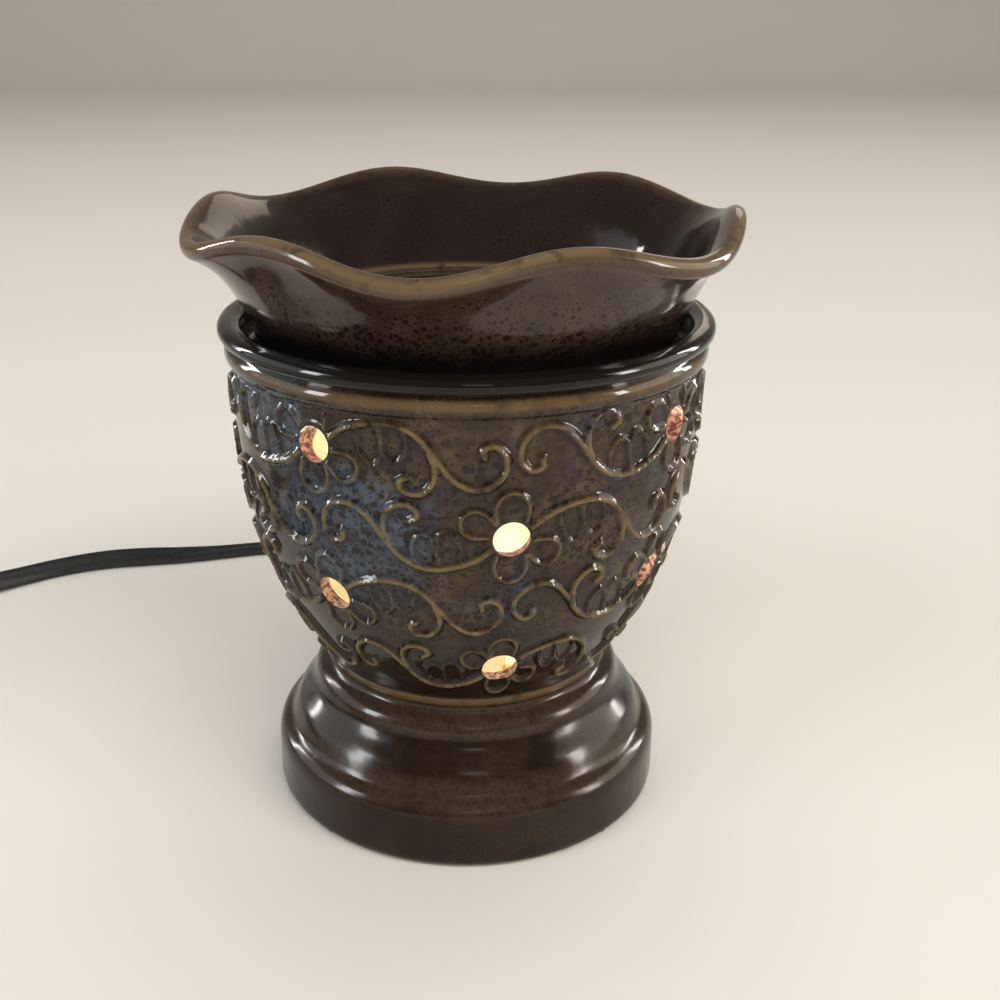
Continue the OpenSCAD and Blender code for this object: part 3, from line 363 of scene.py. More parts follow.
def turned(outline, columns, middle, axis):
    """A closed solid: an outline of distances along an axis and radii, turned about it."""
    axis = np.asarray(axis, float)
    side = np.cross(axis, UP if abs(axis[2]) < 0.9 else np.array([1.0, 0, 0]))
    side = side / np.linalg.norm(side)
    turn = np.linspace(0, 2 * np.pi, columns, endpoint=False)[:, None]
    spoke = np.cos(turn) * side + np.sin(turn) * np.cross(axis, side)
    points = [np.asarray(middle) + along * axis + r * spoke for along, r in outline]
    return np.vstack(points), capped_faces(len(outline), columns)


def block(low, high, degrees=0):
    """A box between two corners, turned about the object's axis."""
    x, y, z = zip(low, high)
    points = np.array([[x[k % 2], y[k // 2 % 2], z[k // 4]] for k in range(8)], float)
    way = outward(degrees)
    across = np.cross(UP, way)
    points = points[:, :1] * way + points[:, 1:2] * across + points[:, 2:] * UP
    return points, [[0, 2, 3, 1], [4, 5, 7, 6], [0, 1, 5, 4], [2, 6, 7, 3], [0, 4, 6, 2], [1, 3, 7, 5]]


def joined(parts):
    """One list of points and one of faces from several solids."""
    points = []
    faces = []
    for some_points, some_faces in parts:
        start = sum(len(p) for p in points)
        points.append(some_points)
        faces += [[start + k for k in face] for face in some_faces]
    return np.vstack(points), faces


def piece_of(name, points, faces, materials, scale=MM):
    """A smooth mesh object, from points in millimetres unless another scale is given."""
    mesh = bpy.data.meshes.new(name)
    mesh.from_pydata((np.asarray(points, float) * scale).tolist(), [], faces)
    mesh.polygons.foreach_set("use_smooth", [True] * len(mesh.polygons))
    for material in materials:
        mesh.materials.append(material)
    mesh.update()
    piece = bpy.data.objects.new(name, mesh)
    bpy.context.scene.collection.objects.link(piece)
    return piece


def carve(piece, parts, operation, material):
    """Cuts solids out of a piece, or adds them, and keeps the result as its mesh."""
    tool = piece_of("tool", *joined(parts), [material])
    modifier = piece.modifiers.new("carve", "BOOLEAN")
    modifier.operation = operation
    modifier.solver = "MANIFOLD"
    modifier.material_mode = "TRANSFER"
    modifier.object = tool
    graph = bpy.context.evaluated_depsgraph_get()
    mesh = bpy.data.meshes.new_from_object(piece.evaluated_get(graph))
    piece.modifiers.clear()
    piece.data = mesh
    bpy.data.objects.remove(tool)


def crisp(piece, degrees=35):
    """Keeps the edges sharp where two faces meet at more than that angle."""
    piece.data.set_sharp_from_angle(angle=math.radians(degrees))


def carried(piece, body, slot, *nodes):
    """The piece moves with a body and stands for the nodes, which are hidden; the slot is not used."""
    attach(piece, body)
    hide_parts(*nodes)


class Look:
    """A node material made step by step: each call adds a node and returns the socket that it gives."""

    def __init__(self, name):
        self.material = bpy.data.materials.new(name)
        self.material.use_nodes = True
        self.tree = self.material.node_tree
        self.shader = self.tree.nodes["Principled BSDF"]
        self.where = self.add("ShaderNodeTexCoord", {}).outputs["Object"]

    def give(self, socket, value):
        """Links a socket to another one, or sets it to a constant."""
        if isinstance(value, bpy.types.NodeSocket):
            self.tree.links.new(value, socket)
        elif socket.type == "RGBA":
            socket.default_value = (*value, 1)
        else:
            socket.default_value = value

    def add(self, kind, inputs, **settings):
        node = self.tree.nodes.new(kind)
        for name, value in settings.items():
            setattr(node, name, value)
        for key, value in inputs.items():
            self.give(node.inputs[key], value)
        return node

    def noise(self, scale, detail=3, twist=0):
        inputs = {"Vector": self.where, "Scale": scale, "Detail": detail, "Distortion": twist}
        return self.add("ShaderNodeTexNoise", inputs).outputs[0]

    def warped(self, scale, reach):
        """Places pushed about by a noise, so that what is drawn there has uneven edges."""
        push = self.add("ShaderNodeTexNoise", {"Vector": self.where, "Scale": scale}).outputs["Color"]
        inputs = {0: push, 1: (reach, reach, reach), 2: self.where}
        return self.add("ShaderNodeVectorMath", inputs, operation="MULTIPLY_ADD").outputs[0]

    def spots(self, where, scale, least, most):
        """1 in scattered spots of uneven size, least and most being shares of the room that each has."""
        node = self.add("ShaderNodeTexVoronoi", {"Vector": where, "Scale": scale})
        size = self.between(node.outputs["Color"], least, most)
        return self.step(self.combine(node.outputs["Distance"], size, "SUBTRACT"), 0.1, -0.1)

    def axis(self, name):
        return self.add("ShaderNodeSeparateXYZ", {0: self.where}).outputs[name]

    def field(self, name):
        """A value that the piece's points carry."""
        return self.add("ShaderNodeAttribute", {}, attribute_name=name).outputs["Fac"]

    def step(self, value, low, high):
        """0 at low, 1 at high and smooth between them."""
        inputs = {"Value": value, "From Min": low, "From Max": high}
        return self.add("ShaderNodeMapRange", inputs, interpolation_type="SMOOTHSTEP").outputs["Result"]

    def between(self, share, low, high):
        """Low at share 0, high at share 1."""
        inputs = {"Value": share, "To Min": low, "To Max": high}
        return self.add("ShaderNodeMapRange", inputs).outputs["Result"]

    def combine(self, a, b, operation="MULTIPLY"):
        return self.add("ShaderNodeMath", {0: a, 1: b}, operation=operation).outputs[0]

    def band(self, value, low, high, soft):
        """1 between low and high, with soft ends."""
        start = self.step(value, low - soft, low + soft)
        end = self.step(value, high + soft, high - soft)
        return self.combine(start, end)

    def mix(self, share, a, b):
        return self.add("ShaderNodeMix", {0: share, 6: a, 7: b}, data_type="RGBA").outputs[2]

    def bump(self, value, depth, strength=1):
        inputs = {"Strength": strength, "Distance": depth, "Height": value}
        self.give(self.shader.inputs["Normal"], self.add("ShaderNodeBump", inputs).outputs["Normal"])

    def done(self, **sockets):
        """Gives the shader its inputs by name and returns the material."""
        for name, value in sockets.items():
            self.give(self.shader.inputs[name.replace("_", " ").title().replace("Ior", "IOR")], value)
        return self.material


def glaze_rough(look):
    """The glaze's uneven gloss."""
    return look.between(look.step(look.noise(70), 0.3, 0.8), *GLAZE_ROUGH)


def body_spots(look):
    """1 in the dark spots of the body's glaze: two sizes of them, with ragged edges, fewer in places."""
    place = look.warped(300, 0.0018)
    large = look.spots(place, 520, 0.02, 0.6)
    small = look.spots(place, 1050, 0.1, 0.5)
    return look.combine(look.combine(large, small, "MAXIMUM"), look.step(look.noise(45, 2), 0.2, 0.45))


def bowl_colour(look, z, spots):
    """Spotted brown, broken by purple and by blue-grey, which is partly the glaze's own and partly a painted
    reflection at the upper left, with painted shade low on the bowl and dark glaze pooled in hollows.
    """
    colour = look.mix(look.step(look.noise(60, 5, 0.8), 0.36, 0.66), BROWN, PALE_BROWN)
    # Blue-grey leans to the upper left: there it is partly a painted reflection of the window
    left = look.combine(look.step(look.axis("X"), *BLUE_AND_SHEEN_FROM_X), look.step(z, *BLUE_AND_SHEEN_FROM_Z))
    blue_and_sheen = look.combine(look.noise(24, 4, 1.2), look.between(left, -0.03, 0.12), "ADD")
    colour = look.mix(look.step(blue_and_sheen, 0.55, 0.68), colour, BLUE_GREY_AND_SHEEN)
    colour = look.mix(look.step(look.noise(85, 3), 0.54, 0.68), colour, PURPLE)
    colour = look.mix(look.combine(spots, 0.88), colour, SPOT_BLACK)
    flecks = look.step(look.noise(430, 4), 0.42, 0.62)
    colour = look.mix(look.combine(flecks, 0.5), colour, FLECK_BROWN)
    # Painted shade: the bowl darker towards the bottom, where it faces down
    colour = look.mix(look.combine(look.step(z, *LOW_PAINTED_SHADE_FADE), 0.72), colour, LOW_PAINTED_SHADE)
    return look.mix(look.combine(look.field("pool"), 0.85), colour, POOL_BLACK)


def foot_colour(look, z, spots):
    """The foot's dark glaze, mottled, with paler shoulders, partly where it runs thin and partly a painted
    sheen on their upward faces.
    """
    colour = look.mix(look.step(look.noise(55, 4, 0.6), 0.35, 0.65), FOOT_DARK, FOOT_BROWN)
    uneven = look.combine(z, look.between(look.noise(120, 3), -0.0025, 0.0025), "ADD")
    thin = look.combine(look.band(uneven, *FLANGE_THIN_AND_SHEEN), look.band(uneven, *RING_THIN_AND_SHEEN), "MAXIMUM")
    # Paler shoulders: partly thin glaze, partly a painted sheen on their upward faces
    colour = look.mix(look.combine(thin, 0.75), colour, FOOT_THIN_AND_SHEEN)
    return look.mix(look.combine(spots, 0.35), colour, FOOT_SPOT)


def gilded(look, z, colour):
    """The colour with gold where the glaze is thin: over the scrolls, under the lip and on the collar."""
    thin = look.combine(look.step(look.field("relief"), 0.4, 0.92), look.step(look.noise(260), 0.26, 0.55))
    colour = look.mix(look.combine(thin, 0.85), colour, SCROLL_GOLD)
    edge = look.combine(look.band(z, *BAND_LINE), look.band(z, *COLLAR_LINE), "MAXIMUM")
    edge = look.combine(edge, look.step(look.noise(160), 0.15, 0.5))
    return look.mix(look.combine(edge, 0.85), colour, EDGE_GOLD)


def glaze_body():
    """A glossy reactive glaze: spotted brown broken by blue-grey that is partly a painted reflection, with
    painted shade low on the bowl, dark in hollows and gold over edges.
    """
    look = Look("glaze_body")
    z = look.axis("Z")
    spots = body_spots(look)
    foot = look.step(z, *FOOT_FADE)
    colour = look.mix(foot, bowl_colour(look, z, spots), foot_colour(look, z, spots))
    colour = look.mix(look.step(z, *LIP_FADE), colour, LIP_BLACK)
    look.bump(look.noise(150, 1), 0.0005, 0.25)
    rough = look.combine(glaze_rough(look), look.combine(foot, FOOT_ROUGHER), "ADD")
    return look.done(base_color=gilded(look, z, colour), roughness=rough, specular_ior_level=GLAZE_SPECULAR)


def glaze_dish():
    """The dish's glaze: mauve brown with painted shade inside and low on the outside, with black speckles
    that gather low and a gold edge.
    """
    look = Look("glaze_dish")
    z = look.axis("Z")
    outer = look.field("outer")
    colour = look.mix(look.step(look.noise(45, 5, 0.8), 0.36, 0.68), MAUVE, PALE_MAUVE)
    # Painted shade: the inside of the dish is darkened most of the way to near black
    colour = look.mix(outer, look.mix(0.8, colour, DISH_INSIDE_PAINTED_SHADE), colour)
    most = look.between(look.combine(outer, look.step(z, *DISH_SPOTS_FADE)), 0.3, 0.66)
    large = look.spots(look.where, 600, 0.02, most)
    small = look.spots(look.where, 1100, 0.02, most)
    spots = look.combine(large, small, "MAXIMUM")
    colour = look.mix(look.combine(spots, 0.85), colour, DISH_SPOT)
    # Painted shade on the dish's outside, darker towards its base
    dark = look.combine(outer, look.step(z, *DISH_PAINTED_SHADE_FADE))
    colour = look.mix(look.combine(dark, 0.92), colour, DISH_PAINTED_SHADE)
    thin = look.combine(look.field("relief"), look.step(look.noise(240), 0.2, 0.5))
    colour = look.mix(look.combine(thin, 0.9), colour, DISH_GOLD)
    look.bump(look.noise(150, 1), 0.0004, 0.2)
    return look.done(base_color=colour, roughness=glaze_rough(look), specular_ior_level=GLAZE_SPECULAR)


def clay(name, dark, pale):
    """Unglazed clay with a fine grain."""
    look = Look(name)
    grain = look.noise(900, 4)
    look.bump(grain, 0.0002, 0.6)
    return look.done(base_color=look.mix(look.step(grain, 0.4, 0.6), dark, pale), roughness=0.55)


def bulb_lit():
    """The lit globe, as bright as the photograph shows it through the holes."""
    look = Look("bulb_lit")
    glow = look.mix(look.step(look.noise(60, 2), 0.35, 0.65), (1, 0.88, 0.42), (1, 0.94, 0.74))
    unlit = (0.06, 0.05, 0.04)
    return look.done(base_color=unlit, roughness=0.3, emission_color=glow, emission_strength=1.05)


def grained(name, colour, other, scale, rough, metal=0.0, depth=0.00005):
    """A finely textured surface, for plastics, rubber and metal."""
    look = Look(name)
    grain = look.noise(scale, 4)
    look.bump(grain, depth, 0.4)
    shade = look.mix(look.step(grain, 0.35, 0.7), colour, other)
    sheen = look.between(look.noise(scale / 6), rough - 0.08, rough + 0.08)
    return look.done(base_color=shade, roughness=sheen, metallic=metal)


GLAZE_BODY = glaze_body()
GLAZE_DISH = glaze_dish()
CLAY = clay("clay", (0.76, 0.68, 0.52), (0.84, 0.77, 0.62))
BURNT_CLAY = clay("burnt_clay", (0.11, 0.03, 0.02), (0.55, 0.33, 0.27))
BULB_LIT = bulb_lit()
CORD_BLACK = grained("cord_black", (0.012, 0.012, 0.013), (0.022, 0.022, 0.024), 900, 0.42)
CASE_BLACK = grained("case_black", (0.014, 0.014, 0.015), (0.028, 0.028, 0.03), 1600, 0.48, depth=0.00008)
RUBBER = grained("rubber", (0.03, 0.03, 0.03), (0.05, 0.05, 0.05), 1200, 0.7)
STEEL = grained("steel", (0.5, 0.5, 0.5), (0.62, 0.62, 0.6), 300, 0.32, 1)
ZINC = grained("zinc", (0.56, 0.57, 0.58), (0.7, 0.7, 0.69), 500, 0.28, 1)
BRASS = grained("brass", (0.66, 0.47, 0.18), (0.74, 0.56, 0.25), 350, 0.3, 1)
NYLON = grained("nylon", (0.7, 0.67, 0.58), (0.78, 0.75, 0.66), 700, 0.5)
PORCELAIN = grained("porcelain", (0.78, 0.72, 0.62), (0.85, 0.8, 0.71), 400, 0.25)
BLACK_GLASS = grained("black_glass", (0.03, 0.024, 0.02), (0.05, 0.04, 0.034), 800, 0.2)
TUNGSTEN = grained("tungsten", (0.8, 0.5, 0.2), (0.9, 0.65, 0.3), 900, 0.4, 1)


def set_camera():
    """The photograph's camera: its axis of view lies beside the middle of the picture."""
    data = bpy.data.cameras.new("camera")
    data.sensor_width = SENSOR
    data.lens = FOCAL_PX / FRAME_PX * SENSOR
    data.shift_x = 0.5 - AXIS_PX / FRAME_PX
    data.clip_start = 0.01
    camera = bpy.data.objects.new("camera", data)
    camera.location = np.array(CAMERA_AT) * MM
    camera.rotation_euler = (math.pi / 2 - CAMERA_PITCH, 0, 0)
    bpy.context.scene.collection.objects.link(camera)
    bpy.context.scene.camera = camera


def backdrop_look():
    """A matte off-white, so that it mirrors no lamp."""
    look = Look("backdrop")
    shade = look.mix(look.noise(3, 2), (0.72, 0.69, 0.63), (0.76, 0.73, 0.68))
    return look.done(base_color=shade, roughness=0.9, specular_ior_level=0)


def make_stage():
    """A pale floor that turns up into a backdrop behind the object."""
    bend = arc((STAGE_FLAT_Y, STAGE_BEND_R), (STAGE_BEND_R, STAGE_BEND_R), -90, 0, 24)
    side = np.vstack([[(STAGE_FRONT_Y, 0)], bend, [(STAGE_FLAT_Y + STAGE_BEND_R, STAGE_TOP_Z)]])
    points = [(x, y, z) for y, z in side for x in (-STAGE_HALF_W, STAGE_HALF_W)]
    faces = [[2 * k, 2 * k + 1, 2 * k + 3, 2 * k + 2] for k in range(len(side) - 1)]
    piece_of("backdrop", points, faces, [backdrop_look()])


def facing_lamp(name, at, size, power, colour):
    """A rectangular lamp that faces the object's middle."""
    data = bpy.data.lights.new(name, "AREA")
    data.shape = "RECTANGLE"
    data.size, data.size_y = size
    data.energy = power
    data.color = colour
    lamp = bpy.data.objects.new(name, data)
    lamp.location = at
    way = LAMPS_FACE - np.array(at)
    tilt = math.acos(-way[2] / np.linalg.norm(way))
    lamp.rotation_euler = (tilt, 0, math.atan2(way[0], -way[1]) + math.pi)
    bpy.context.scene.collection.objects.link(lamp)
    return lamp


def glint(name, at, size, power, colour):
    """A lamp that shows in glossy surfaces, as a window or a pale wall would, and lights nothing else."""
    facing_lamp(name, at, size, power, colour).visible_diffuse = False


def soft_box(name, at, size, power, colour):
    """A lamp that lights the scene and shows in no glossy surface."""
    facing_lamp(name, at, size, power, colour).visible_glossy = False


def light_scene():
    """Soft boxes round the object in a dim room, and glints, so that a dark glaze keeps its depth."""
    world = bpy.data.worlds.new("world")
    world.use_nodes = True
    sky = world.node_tree.nodes["Background"]
    sky.inputs["Color"].default_value = (1, 0.96, 0.9, 1)
    sky.inputs["Strength"].default_value = 0.18
    bpy.context.scene.world = world
    glint("left_window", (-1.7, -0.6, 0.53), (0.32, 0.8), 16, (0.95, 0.97, 1))
    glint("right_window", (1.7, -0.5, 0.43), (0.24, 0.7), 12, (1, 0.95, 0.88))
    glint("left_back", (-1.5, 0.84, 0.53), (0.14, 0.8), 10, (1, 0.97, 0.93))
    glint("right_back", (1.5, 0.84, 0.53), (0.14, 0.8), 10, (1, 0.95, 0.88))
    glint("left_wall", (-1.8, 0, 0.53), (1.6, 1.2), 8, (0.92, 0.96, 1))
    glint("right_wall", (1.8, 0, 0.53), (1.6, 1.2), 16, (1, 0.92, 0.8))
    glint("back_patch", (0.6, 1.7, 0.77), (0.6, 0.5), 1.2, (1, 0.84, 0.68))
    glint("front_patch", (0.2, -1.9, 1.13), (0.44, 0.2), 1, (1, 0.98, 0.96))
    soft_box("front_box", (0.2, -1.5, 1.63), (1.6, 0.6), 25, (1, 0.98, 0.96))
    soft_box("right_box", (1.6, -1.2, 1.83), (1.2, 1.2), 27, (1, 0.95, 0.88))
    soft_box("left_box", (-1.6, -1.2, 1.83), (1.2, 1.2), 16, (0.96, 0.98, 1))
    soft_box("top_box", (0.2, 0.7, 2.13), (1.6, 1.6), 18, (1, 0.98, 0.95))
    bpy.context.scene.view_settings.view_transform = "Standard"


def light_bulb():
    """The bulb's light on the inside of the body and the walls of the holes."""
    data = bpy.data.lights.new("bulb_light", "POINT")
    data.energy = 0.95
    data.color = (1, 0.86, 0.62)
    data.shadow_soft_size = GLOBE_R * MM
    lamp = bpy.data.objects.new("bulb_light", data)
    lamp.location = (0, 0, GLOBE_Z * MM)
    bpy.context.scene.collection.objects.link(lamp)
    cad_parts["bulb_glass"].visible_shadow = False


set_camera()
make_stage()
light_scene()
light_bulb()

# The lead's section in metres, and how far its grooves lie from its middle, as a share of a core's radius
CORD_T = 0.0033
CORD_GROOVE = 0.62

# The lead's routes in metres: place of its middle, and roll from on edge, 0, to flat, 90
TO_SWITCH = [
    (0, 0.075, 0.0095, 0), (0, 0.084, 0.0095, 0), (-0.001, 0.095, 0.008, 0), (-0.006, 0.107, 0.0055, 10),
    (-0.015, 0.119, 0.0036, 30), (-0.028, 0.129, 0.0028, 55), (-0.044, 0.136, 0.0021, 80),
    (-0.061, 0.139, 0.0018, 90), (-0.077, 0.138, 0.0018, 90), (-0.092, 0.134, 0.002, 82),
    (-0.106, 0.130, 0.0026, 62), (-0.120, 0.127, 0.0032, 35), (-0.134, 0.1235, 0.0034, 12),
    (-0.148, 0.117, 0.0034, 0), (-0.160, 0.1085, 0.0036, 8), (-0.171, 0.099, 0.0046, 30),
    (-0.178, 0.091, 0.006, 62), (-0.182, 0.085, 0.007, 90), (-0.182, 0.078, 0.007, 90),
]
TO_COIL = [
    (-0.182, 0.020, 0.007, 90), (-0.182, 0.013, 0.007, 90), (-0.180, 0.006, 0.0058, 70),
    (-0.175, -0.003, 0.0047, 40), (-0.168, -0.014, 0.0043, 15), (-0.161, -0.026, 0.0043, 5),
    (-0.158, -0.0368, 0.0043, 0), (-0.158, -0.0434, 0.0043, 0),
]
TO_PLUG = [
    (-0.242, -0.0434, 0.0116, 0), (-0.242, -0.0368, 0.0116, 0), (-0.240, -0.025, 0.0105, 25),
    (-0.236, -0.012, 0.0082, 65), (-0.232, 0, 0.0065, 90), (-0.232, 0.010, 0.0065, 90),
]

# The put-away coil in metres: the turns between which it climbs to its upper layer, and the points of a turn
COIL_AT = (-0.200, -0.050)
COIL_R = 0.042
COIL_STEP = 0.0044
COIL_TURNS = 4.5
COIL_CLIMB = (2, 2.5)
COIL_LOW_Z = 0.0043
COIL_LAYER = 0.0073
COIL_RINGS = 24


def coil_points():
    """The coil spirals in on the table, climbs where the spiral turns, and spirals out on top."""
    points = []
    for i in range(round(COIL_TURNS * COIL_RINGS) + 1):
        turn = i / COIL_RINGS
        r = COIL_R - COIL_STEP * min(turn, COIL_TURNS - turn)
        a = -2 * math.pi * turn
        z = COIL_LOW_Z + COIL_LAYER * np.interp(turn, COIL_CLIMB, (0, 1))
        points.append((COIL_AT[0] + r * math.cos(a), COIL_AT[1] + r * math.sin(a), z, 0))
    return points


def cord_section():
    """Places along and across the lead's width: two round cores side by side with a groove between them."""
    core = CORD_T / 2
    groove = CORD_GROOVE * core
    right = arc((core, 0), (core, core), -120, 120, 11)
    left = arc((-core, 0), (core, core), 60, 300, 11)
    return np.vstack([right, [(0, groove)], left, [(0, -groove)]])


def lead(name, route, parts):
    """A tube of the twin section along a route; returns the piece and the middles of its rings."""
    line = through(route, parts)
    middle = line[:, :3]
    roll = np.radians(line[:, 3:])
    way = np.gradient(middle, axis=0)
    way = way / np.linalg.norm(way, axis=1)[:, None]
    side = np.cross(way, UP)
    side = side / np.linalg.norm(side, axis=1)[:, None]
    up = np.cross(side, way)
    wide = up * np.cos(roll) + side * np.sin(roll)
    thin = side * np.cos(roll) - up * np.sin(roll)
    section = cord_section()
    rings = middle[:, None] + section[:, :1] * wide[:, None] + section[:, 1:] * thin[:, None]
    faces = capped_faces(len(rings), len(section))
    piece = piece_of(name, rings.reshape(-1, 3), [face[::-1] for face in faces], [CORD_BLACK], 1)
    crisp(piece, 60)
    return piece, middle.tolist()


switch_lead, switch_path = lead("lead_to_switch", TO_SWITCH, 6)
plug_lead, plug_path = lead("lead_to_plug", TO_COIL + coil_points() + TO_PLUG, 3)
carried(switch_lead, "base", "cord_black", "cord_to_switch")
carried(plug_lead, "base", "cord_black", "cord_to_coil", "cord_coil", "cord_to_plug")

# The body's outline, up the outside and down the inside
bowl_start = np.array([COLLAR_R, BOWL_Z], float)
bowl_out = bowl_start + BOWL_SWELL * np.array([math.cos(BOWL_SLOPE), math.sin(BOWL_SLOPE)])
bowl_curve = bezier(bowl_start, bowl_out, (BOWL_TOP[0], BOWL_TOP[1] - BOWL_UPRIGHT), BOWL_TOP, 200)
bowl_line = evenly(np.vstack([bowl_curve, [(BOWL_TOP[0], BAND_Z)]]), BOWL_GRID)
foot_line = evenly(np.vstack([
    arc((FOOT_R - FOOT_EDGE, FOOT_Z + FOOT_EDGE), (FOOT_EDGE, FOOT_EDGE), -90, 0, 8),
    arc((FOOT_R - FLANGE_ROUND[0], FLANGE_Z), FLANGE_ROUND, 0, 90, 14),
    bezier(STEP, np.add(STEP, STEP_WAY), np.add(RING, RING_WAY), RING, 14),
    arc((RING[0] - RING_ROUND[0], RING[1]), RING_ROUND, 10, 80, 10),
    [NECK],
    arc((NECK[0], COLLAR_Z), (COLLAR_R - NECK[0], COLLAR_HALF), -80, 0, 6),
]), FOOT_GRID)
top_line = evenly(np.vstack([
    arc((BOWL_TOP[0], BAND_Z + BAND_HALF), (BAND_PROUD, BAND_HALF), -80, 80, 14),
    [(BOWL_TOP[0] - BAND_INSET, BAND_Z + 2 * BAND_HALF)],
    arc((LIP_R - LIP_HALF[0], LIP_Z), LIP_HALF, -80, 180, 30),
    [(LIP_R - 2 * LIP_HALF[0], LEDGE_Z), (LEDGE_R, LEDGE_Z)],
]), TOP_GRID)
bowl_inner = (bowl_curve - [WALL, 0])[bowl_curve[:, 1] < SLOPE_END_Z][::-1]
inside_line = evenly(np.vstack([
    [(LEDGE_R, LEDGE_UNDER_Z)],
    bowl_inner,
    [(NECK[0] - WALL, NECK[1]), (RING[0] - WALL, RING[1] - RING_INNER_DROP)],
    [(BORE_R, BORE_TOP_Z), (BORE_R, FOOT_Z), (FOOT_R - FOOT_EDGE - UNDERSIDE_GAP, FOOT_Z)],
]), INSIDE_GRID)

# The relief: one half of the scroll work beside a hole, in degrees round and millimetres up from the hole
STEM = [
    (4.4, 2.4), (8, 5), (12, 6.5), (16, 7.3), (20, 7.1), (23.6, 5.6), (26.6, 2.8), (29.2, -0.8),
    (32.2, -4.4), (36, -6.6), (40, -6.2), (43, -3.4), (43.4, 0.4), (41.2, 2.9), (38.6, 2.2), (38.8, 0.4),
]
BRANCH = [(27.2, 1.6), (28.4, -2.4), (27.6, -6), (24.8, -8), (21.6, -7.5), (20.6, -5.5), (22.2, -4.3)]
SIDE_PETAL = [(3.6, -3.6), (6, -6.3), (8.8, -7), (11, -5.2), (11.1, -2.6), (9, -0.8), (4.8, -0.6)]
END_PETAL = [(-3.2, -4), (-3.7, -7.4), (-2.4, -10), (0, -11), (2.4, -10), (3.7, -7.4), (3.2, -4)]
NEAR_LOBE = [(11, 5.6), (11.4, 1.6), (13, -1.4), (15, -2.2), (16.6, -0.6), (16.6, 2.6), (16, 6)]
FAR_LOBE = [(16.6, 6.2), (17, 2), (18.2, -0.6), (20, -1.2), (21.8, 0.4), (22.4, 3.2), (21.6, 5.6)]

# Half the width and the height of the relief's lines, and of the rim that stands round a hole; half the width
# of the dark glaze that pools beside a line
STEM_HALF = 1.4
STEM_HIGH = 1.2
PETAL_HALF = 1.15
PETAL_HIGH = 0.95
LOBE_HALF = 0.9
LOBE_HIGH = 0.7
POOL_HALF = 2.6
HOLE_RIM_AT = 0.6
HOLE_RIM_HALF = 1.2
HOLE_RIM_HIGH = 0.3

# How far the ground lies below the plain wall, how far a hole's scroll work reaches up and down, and over
# what length the relief fades out at the bowl's ends
GROUND = 0.2
MOTIF_REACH = 14
FADE = 2.5


def distance_to(points, line):
    """Each point's distance to the nearest stretch of a line."""
    start = line[:-1]
    way = line[1:] - start
    share = ((points[:, None] - start) * way).sum(-1) / np.maximum((way**2).sum(-1), 1e-12)
    near = start + np.clip(share, 0, 1)[..., None] * way
    return np.linalg.norm(points[:, None] - near, axis=-1).min(1)


def ridge(distance, half, high):
    """The height of a rounded ridge at a distance from its middle line."""
    return high * (0.5 + 0.5 * np.cos(np.pi * np.clip(distance / half, 0, 1)))


def motif(turn, rise, radius):
    """The relief's height, and where glaze pools beside it, at degrees and millimetres from a hole."""
    scale = np.array([math.radians(1) * radius, 1])
    points = np.stack([turn, rise], 1) * scale
    clear = np.linalg.norm(points, axis=1) - HOLE_R
    heights = [ridge(clear - HOLE_RIM_AT, HOLE_RIM_HALF, HOLE_RIM_HIGH)]
    pools = []
    kinds = [
        ((STEM, BRANCH), STEM_HALF, STEM_HIGH),
        ((SIDE_PETAL, END_PETAL), PETAL_HALF, PETAL_HIGH),
        ((NEAR_LOBE, FAR_LOBE), LOBE_HALF, LOBE_HIGH),
    ]
    for lines, half, high in kinds:
        for line in lines:
            for side in (1, -1):
                distance = distance_to(points, through(line, 6) * scale * side)
                heights.append(ridge(distance, half, high) * np.clip(clear, 0, 1))
                pools.append(ridge(distance, POOL_HALF, 1))
    height = np.max(heights, axis=0)
    pool = np.max(pools, axis=0) * (1 - np.clip(2 * height / STEM_HIGH, 0, 1))
    return np.stack([height, pool])


def bowl_relief():
    """The relief's height and the pooled glaze over the bowl's rows and columns."""
    rises = lengths(bowl_line)
    quarter = COLUMNS * HOLE_REPEAT // 360
    turns = np.arange(quarter) * 360 / COLUMNS
    relief = np.zeros((2, len(bowl_line), COLUMNS))
    for row, z in enumerate(HOLE_ROW_Z):
        middle = np.interp(z, bowl_line[:, 1], rises)
        radius = np.interp(z, bowl_line[:, 1], bowl_line[:, 0])
        rows = np.flatnonzero(np.abs(rises - middle) < MOTIF_REACH)
        half = HOLE_REPEAT / 2
        local = (turns - HOLE_TURN[row % 2] + half) % HOLE_REPEAT - half
        turn, rise = np.meshgrid(local, rises[rows] - middle)
        part = motif(turn.ravel(), rise.ravel(), radius).reshape(2, len(rows), quarter)
        relief[:, rows] = np.maximum(relief[:, rows], np.tile(part, 360 // HOLE_REPEAT))
    return relief


def softened(line, passes=2):
    """A closed outline with its corners eased, as under a glaze."""
    for _ in range(passes):
        line = (np.roll(line, 1, 0) + 2 * line + np.roll(line, -1, 0)) / 4
    return line


def light_holes():
    """A rod through the wall for each light hole, a little wider towards the inside."""
    rods = []
    wide = HOLE_R + HOLE_FLARE
    for row, z in enumerate(HOLE_ROW_Z):
        face = np.interp(z, bowl_line[:, 1], bowl_line[:, 0])
        outline = [(BORE_R / 2, wide), (face - WALL, wide), (face, HOLE_R), (LIP_R + WALL, HOLE_R)]
        for k in range(360 // HOLE_REPEAT):
            way = outward(HOLE_TURN[row % 2] + HOLE_REPEAT * k)
            rods.append(turned(outline, 48, UP * z, way))
    return rods


def lug_bores():
    """A rod up into each lug, for its nylon plug."""
    outline = [(LUG_FROM[2] - CUT_PAST, LUG_BORE_R), (LUG_FROM[2] + LUG_BORE_L, LUG_BORE_R)]
    return [turned(outline, 32, outward(a) * LUG_BORE_AT, UP) for a in LUG_ANGLES]


